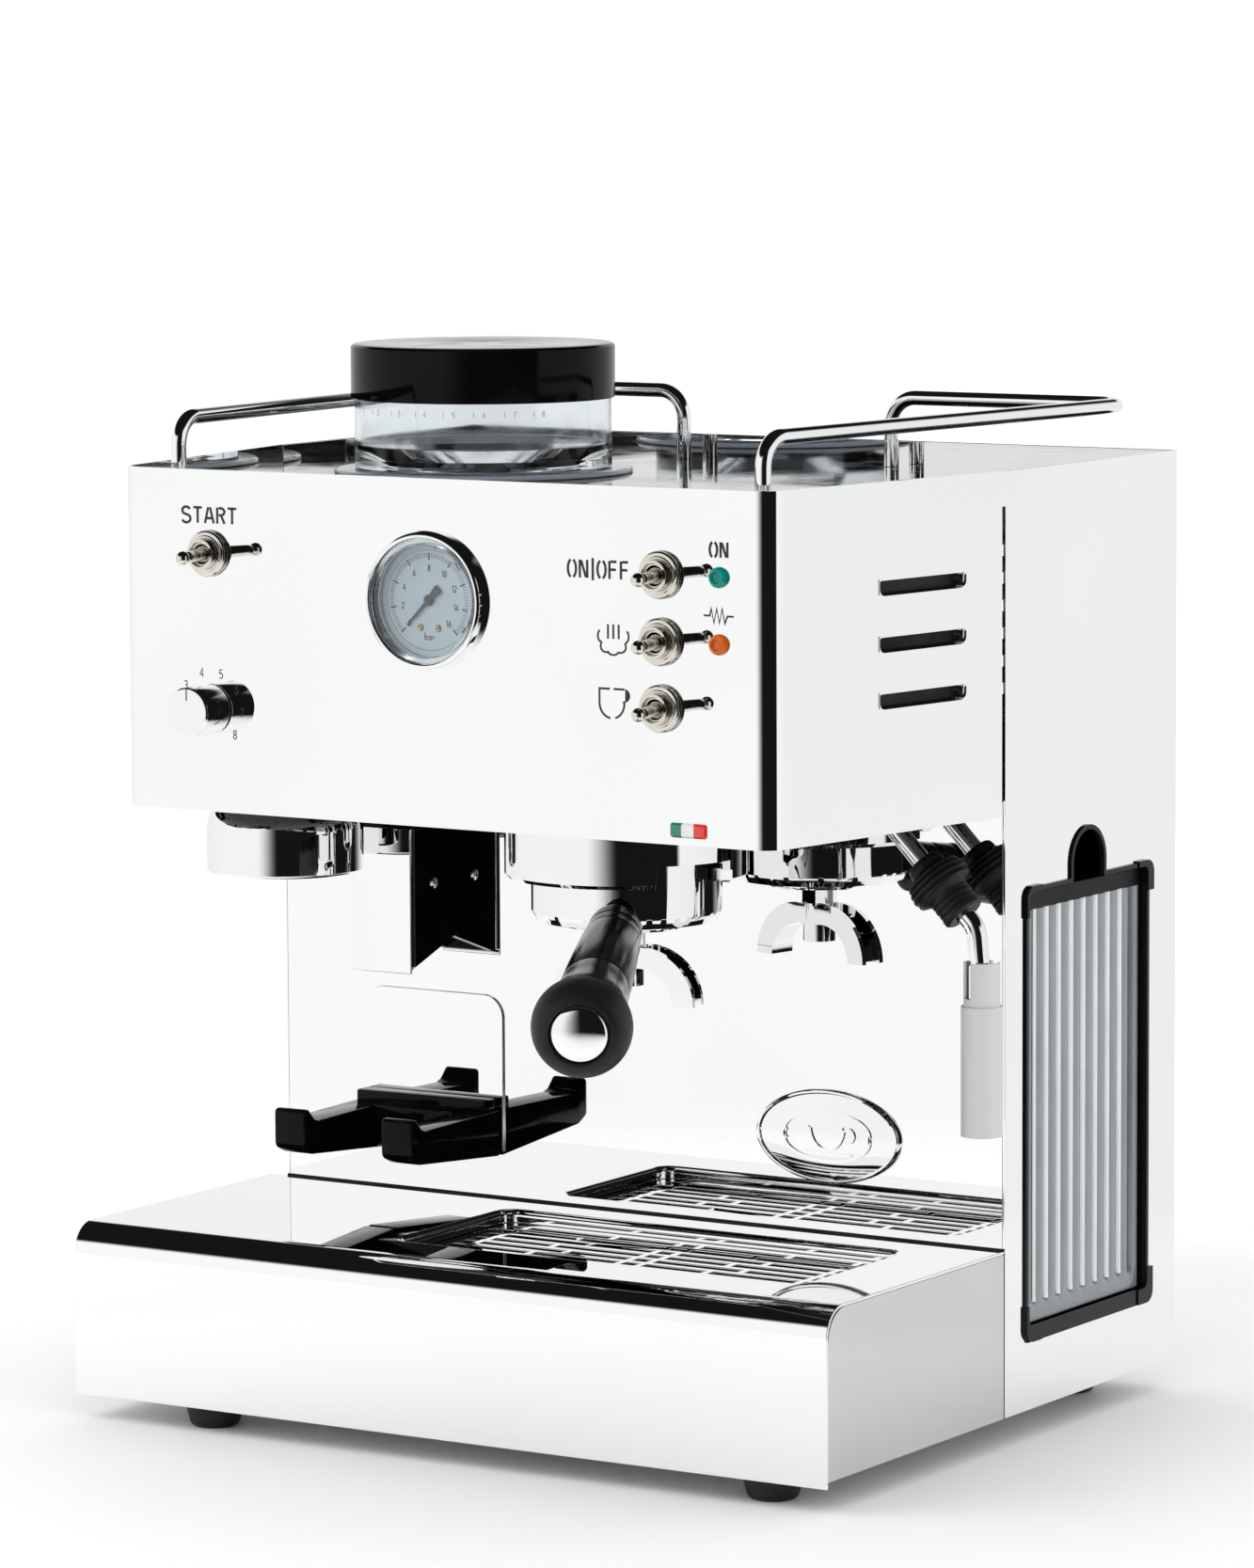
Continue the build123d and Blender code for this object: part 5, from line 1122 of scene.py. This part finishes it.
def wand_rubber():
    """Ribbed grip on the wand's slanted run."""
    elbow, knee = spot(*WAND_ELBOW), spot(*WAND_KNEE)
    up_tube = (elbow - knee).normalized()
    start = elbow - up_tube * RUBBER_DOWN_TUBE * MM
    shape = [(3.82, 0), (6.2, 0), (6.9, -0.6), (7.3, -2), (7.3, -4.2), (8.4, -4.8), (9.6, -5.3)]
    for rise, reach in ((5.9, 11.3), (8.0, 12.1), (10.2, 12.4), (12.5, 11.8)):
        shape += [(reach - 0.4, -rise), (reach, -rise - 0.5), (reach - 0.1, -rise - 1.3),
                  (reach - 1.3, -rise - 1.7)]
    shape += [(8.6, -15.6), (8.1, -16.4), (8.2, -17.4), (7.6, -17.7), (7.6, -18.1), (8.2, -18.4),
              (8.2, -19.8), (7.6, -20.1), (7.6, -20.5), (8.1, -20.8), (8.1, -22.2), (7.6, -22.5),
              (7.6, -22.9), (8.4, -23.2), (8.3, -25.2), (7.2, -26.0), (3.82, -26.0)]
    as_piece("wand_rubber", lathe("wand_rubber", shape, start, up_tube, 56, 0.25, 40), "steam_wand",
             "black_rubber", "wand_grip")


def hopper():
    lid_low, lid_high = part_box("hopper_lid")
    centre = Vector(((lid_low.x + lid_high.x) / 2, (lid_low.y + lid_high.y) / 2, lid_low.z))
    reach, rise = (lid_high.x - lid_low.x) / 2 / MM, (lid_high.z - lid_low.z) / MM
    lid = [(0, rise), (reach - 3.0, rise), (reach - 1.1, rise - 0.25), (reach, rise - 1.2), (reach, 0.3),
           (reach - 0.3, 0), (reach - 1.0, 0), (reach - 1.0, rise - 3.2), (0, rise - 3.2)]
    as_piece("lid", lathe("lid", lid, centre, UP, 128, 0.25, 40), "hopper_lid", "gloss_black", "hopper_lid")
    soften_node("hopper_bin", 0.4, "bean_hopper")
    soften_node("hopper_collar", 0.5, "machine")
    bin_high, bin_low = high("hopper_bin"), low("hopper_bin")
    radius = (bin_high.x - bin_low.x) / 2 + 0.01 * MM
    build = bmesh.new()

    def on_wall(u, v, w):
        angle = u / (radius / MM)
        out = radius + w * MM
        return Vector((centre.x + out * math.sin(angle), centre.y - out * math.cos(angle), v * MM + DATUM.z))

    level = (lid_low.z - DATUM.z) / MM - 4.2
    for number in range(1, 9):
        add_text(build, str(number), (-42 + 12 * number, level), 2.3, 0.28, on_wall, 1.0, 0.04)
        bar = -46 + 12 * number
        add_ribbon(build, [(bar, level - 1.0), (bar, level + 1.0)], 0.3, 0.04, on_wall)
    as_piece("bin_scale", from_bmesh("bin_scale", build), "bean_hopper", "needle_grey", material=FAINT_MARK)


# ---- scene --------------------------------------------------------------------------------------
def camera():
    data = bpy.data.cameras.new("studio_camera")
    data.sensor_fit, data.sensor_width = "AUTO", 36.0
    data.lens = 156.0
    data.shift_x, data.shift_y = -0.0027, -0.0263
    data.clip_start, data.clip_end = 0.05, 60.0
    cam = bpy.data.objects.new("studio_camera", data)
    bpy.context.scene.collection.objects.link(cam)
    yaw, pitch, roll = math.radians(32.2457), math.radians(6.1987), math.radians(-0.274)
    ahead = Vector((-math.sin(yaw) * math.cos(pitch), math.cos(yaw) * math.cos(pitch), -math.sin(pitch)))
    right = Vector((math.cos(yaw), math.sin(yaw), 0))
    up = right.cross(ahead)
    level_right, level_up = right, up
    right = level_right * math.cos(roll) + level_up * math.sin(roll)
    up = level_up * math.cos(roll) - level_right * math.sin(roll)
    cam.matrix_world = Matrix.Translation((1.39503, -2.16790, 0.54458)) @ Matrix(
        (right, up, -ahead)).transposed().to_4x4()
    bpy.context.scene.camera = cam


def fade_floor(material):
    """The floor melts into the white room round it."""
    tree = material.node_tree
    out = next(node for node in tree.nodes if node.type == "OUTPUT_MATERIAL")
    shader = next(node for node in tree.nodes if node.type == "BSDF_PRINCIPLED")
    where = place(tree, "ShaderNodeTexCoord").outputs["Object"]
    reach = place(tree, "ShaderNodeVectorMath", operation="LENGTH")
    tree.links.new(where, reach.inputs[0])
    fade = place(tree, "ShaderNodeMapRange", interpolation_type="SMOOTHSTEP",
                 values={"From Min": 0.34, "From Max": 0.72})
    tree.links.new(reach.outputs["Value"], fade.inputs["Value"])
    through = place(tree, "ShaderNodeBsdfTransparent")
    mix = place(tree, "ShaderNodeMixShader")
    tree.links.new(fade.outputs["Result"], mix.inputs["Fac"])
    tree.links.new(shader.outputs["BSDF"], mix.inputs[1])
    tree.links.new(through.outputs["BSDF"], mix.inputs[2])
    tree.links.new(mix.outputs["Shader"], out.inputs["Surface"])


def studio():
    """White room for soft light, with a dark opening on the camera's side and a dark ceiling."""
    world = bpy.data.worlds.new("studio")
    bpy.context.scene.world = world
    world.use_nodes = True
    tree = world.node_tree
    tree.nodes.clear()
    out = place(tree, "ShaderNodeOutputWorld")
    way = place(tree, "ShaderNodeTexCoord").outputs["Generated"]
    split = place(tree, "ShaderNodeSeparateXYZ")
    tree.links.new(way, split.inputs["Vector"])
    level = place(tree, "ShaderNodeCombineXYZ")
    tree.links.new(split.outputs["X"], level.inputs["X"])
    tree.links.new(split.outputs["Y"], level.inputs["Y"])
    unit = place(tree, "ShaderNodeVectorMath", operation="NORMALIZE")
    tree.links.new(level.outputs["Vector"], unit.inputs[0])
    edges = []
    for azimuth, start, full in ((108.0, -0.45, 0.10), (-7.0, -0.02, 0.06)):
        angle = math.radians(azimuth)
        towards = place(tree, "ShaderNodeVectorMath", operation="DOT_PRODUCT")
        towards.inputs[1].default_value = (math.sin(angle), -math.cos(angle), 0)
        tree.links.new(unit.outputs["Vector"], towards.inputs[0])
        ramp = place(tree, "ShaderNodeMapRange", interpolation_type="SMOOTHSTEP",
                     values={"From Min": start, "From Max": full, "To Min": 0.0, "To Max": 1.0})
        tree.links.new(towards.outputs["Value"], ramp.inputs["Value"])
        edges.append(ramp.outputs["Result"])
    opening = place(tree, "ShaderNodeMath", operation="MULTIPLY")
    tree.links.new(edges[0], opening.inputs[0])
    tree.links.new(edges[1], opening.inputs[1])
    ceiling = place(tree, "ShaderNodeMapRange", interpolation_type="SMOOTHSTEP",
                    values={"From Min": 0.40, "From Max": 0.54, "To Min": 0.0, "To Max": 1.0})
    tree.links.new(split.outputs["Z"], ceiling.inputs["Value"])
    dark = place(tree, "ShaderNodeMath", operation="MAXIMUM")
    tree.links.new(opening.outputs["Value"], dark.inputs[0])
    tree.links.new(ceiling.outputs["Result"], dark.inputs[1])
    depth = place(tree, "ShaderNodeMapRange", interpolation_type="SMOOTHSTEP",
                  values={"From Min": -0.7, "From Max": 0.9, "To Min": 1.0, "To Max": 0.90})
    tree.links.new(split.outputs["Y"], depth.inputs["Value"])
    lit = place(tree, "ShaderNodeMath", operation="SUBTRACT", values={0: 1.0})
    tree.links.new(dark.outputs["Value"], lit.inputs[1])
    wall = place(tree, "ShaderNodeMath", operation="MULTIPLY_ADD", values={2: 0.008})
    tree.links.new(depth.outputs["Result"], wall.inputs[0])
    tree.links.new(lit.outputs["Value"], wall.inputs[1])
    seen = place(tree, "ShaderNodeBackground")
    tree.links.new(wall.outputs["Value"], seen.inputs["Color"])
    soft = place(tree, "ShaderNodeBackground", values={"Color": (1, 1, 1, 1), "Strength": 1.15})
    path = place(tree, "ShaderNodeLightPath")
    plain = place(tree, "ShaderNodeMath", operation="MAXIMUM")
    tree.links.new(path.outputs["Is Camera Ray"], plain.inputs[0])
    tree.links.new(path.outputs["Is Diffuse Ray"], plain.inputs[1])
    mix = place(tree, "ShaderNodeMixShader")
    tree.links.new(plain.outputs["Value"], mix.inputs["Fac"])
    tree.links.new(seen.outputs["Background"], mix.inputs[1])
    tree.links.new(soft.outputs["Background"], mix.inputs[2])
    tree.links.new(mix.outputs["Shader"], out.inputs["Surface"])

    floor_mesh = lathe("floor", [(0, 0), (750, 0), (750, -5), (0, -5)], Vector((0, 0, 0)), UP, 96)
    floor_mesh.transform(Matrix.Translation((0, 0, -0.00005)))
    floor = bpy.data.objects.new("floor", floor_mesh)
    bpy.context.scene.collection.objects.link(floor)
    pale = finish_of("studio_floor", (0.97, 0.97, 0.97), (0.965, 0.965, 0.965), 0.55, 0.65, relief=0.05,
                     depth=0.05, Specular_IOR_Level=0.2)
    floor_mesh.materials.append(pale)
    fade_floor(pale)
    scene = bpy.context.scene
    scene.view_settings.view_transform = "Standard"
    scene.view_settings.look = "None"
    key = bpy.data.lights.new("soft_key", "AREA")
    key.shape, key.size, key.size_y, key.energy = "RECTANGLE", 1.6, 1.2, 12.0
    lamp = bpy.data.objects.new("soft_key", key)
    scene.collection.objects.link(lamp)
    lamp.matrix_world = Matrix.Translation((-1.3, -1.5, 1.8)) @ Vector((1.3, 1.5, -1.6)).to_track_quat(
        "-Z", "Y").to_matrix().to_4x4()
    lamp.visible_glossy = False


camera()
studio()
panel_print()
gauge()
needle()
switches()
lamps()
knob()
badges()
casings()
fork_rest()
seams()
screws()
louvres()
fluted_tank()
handle()
wand_rubber()
hopper()
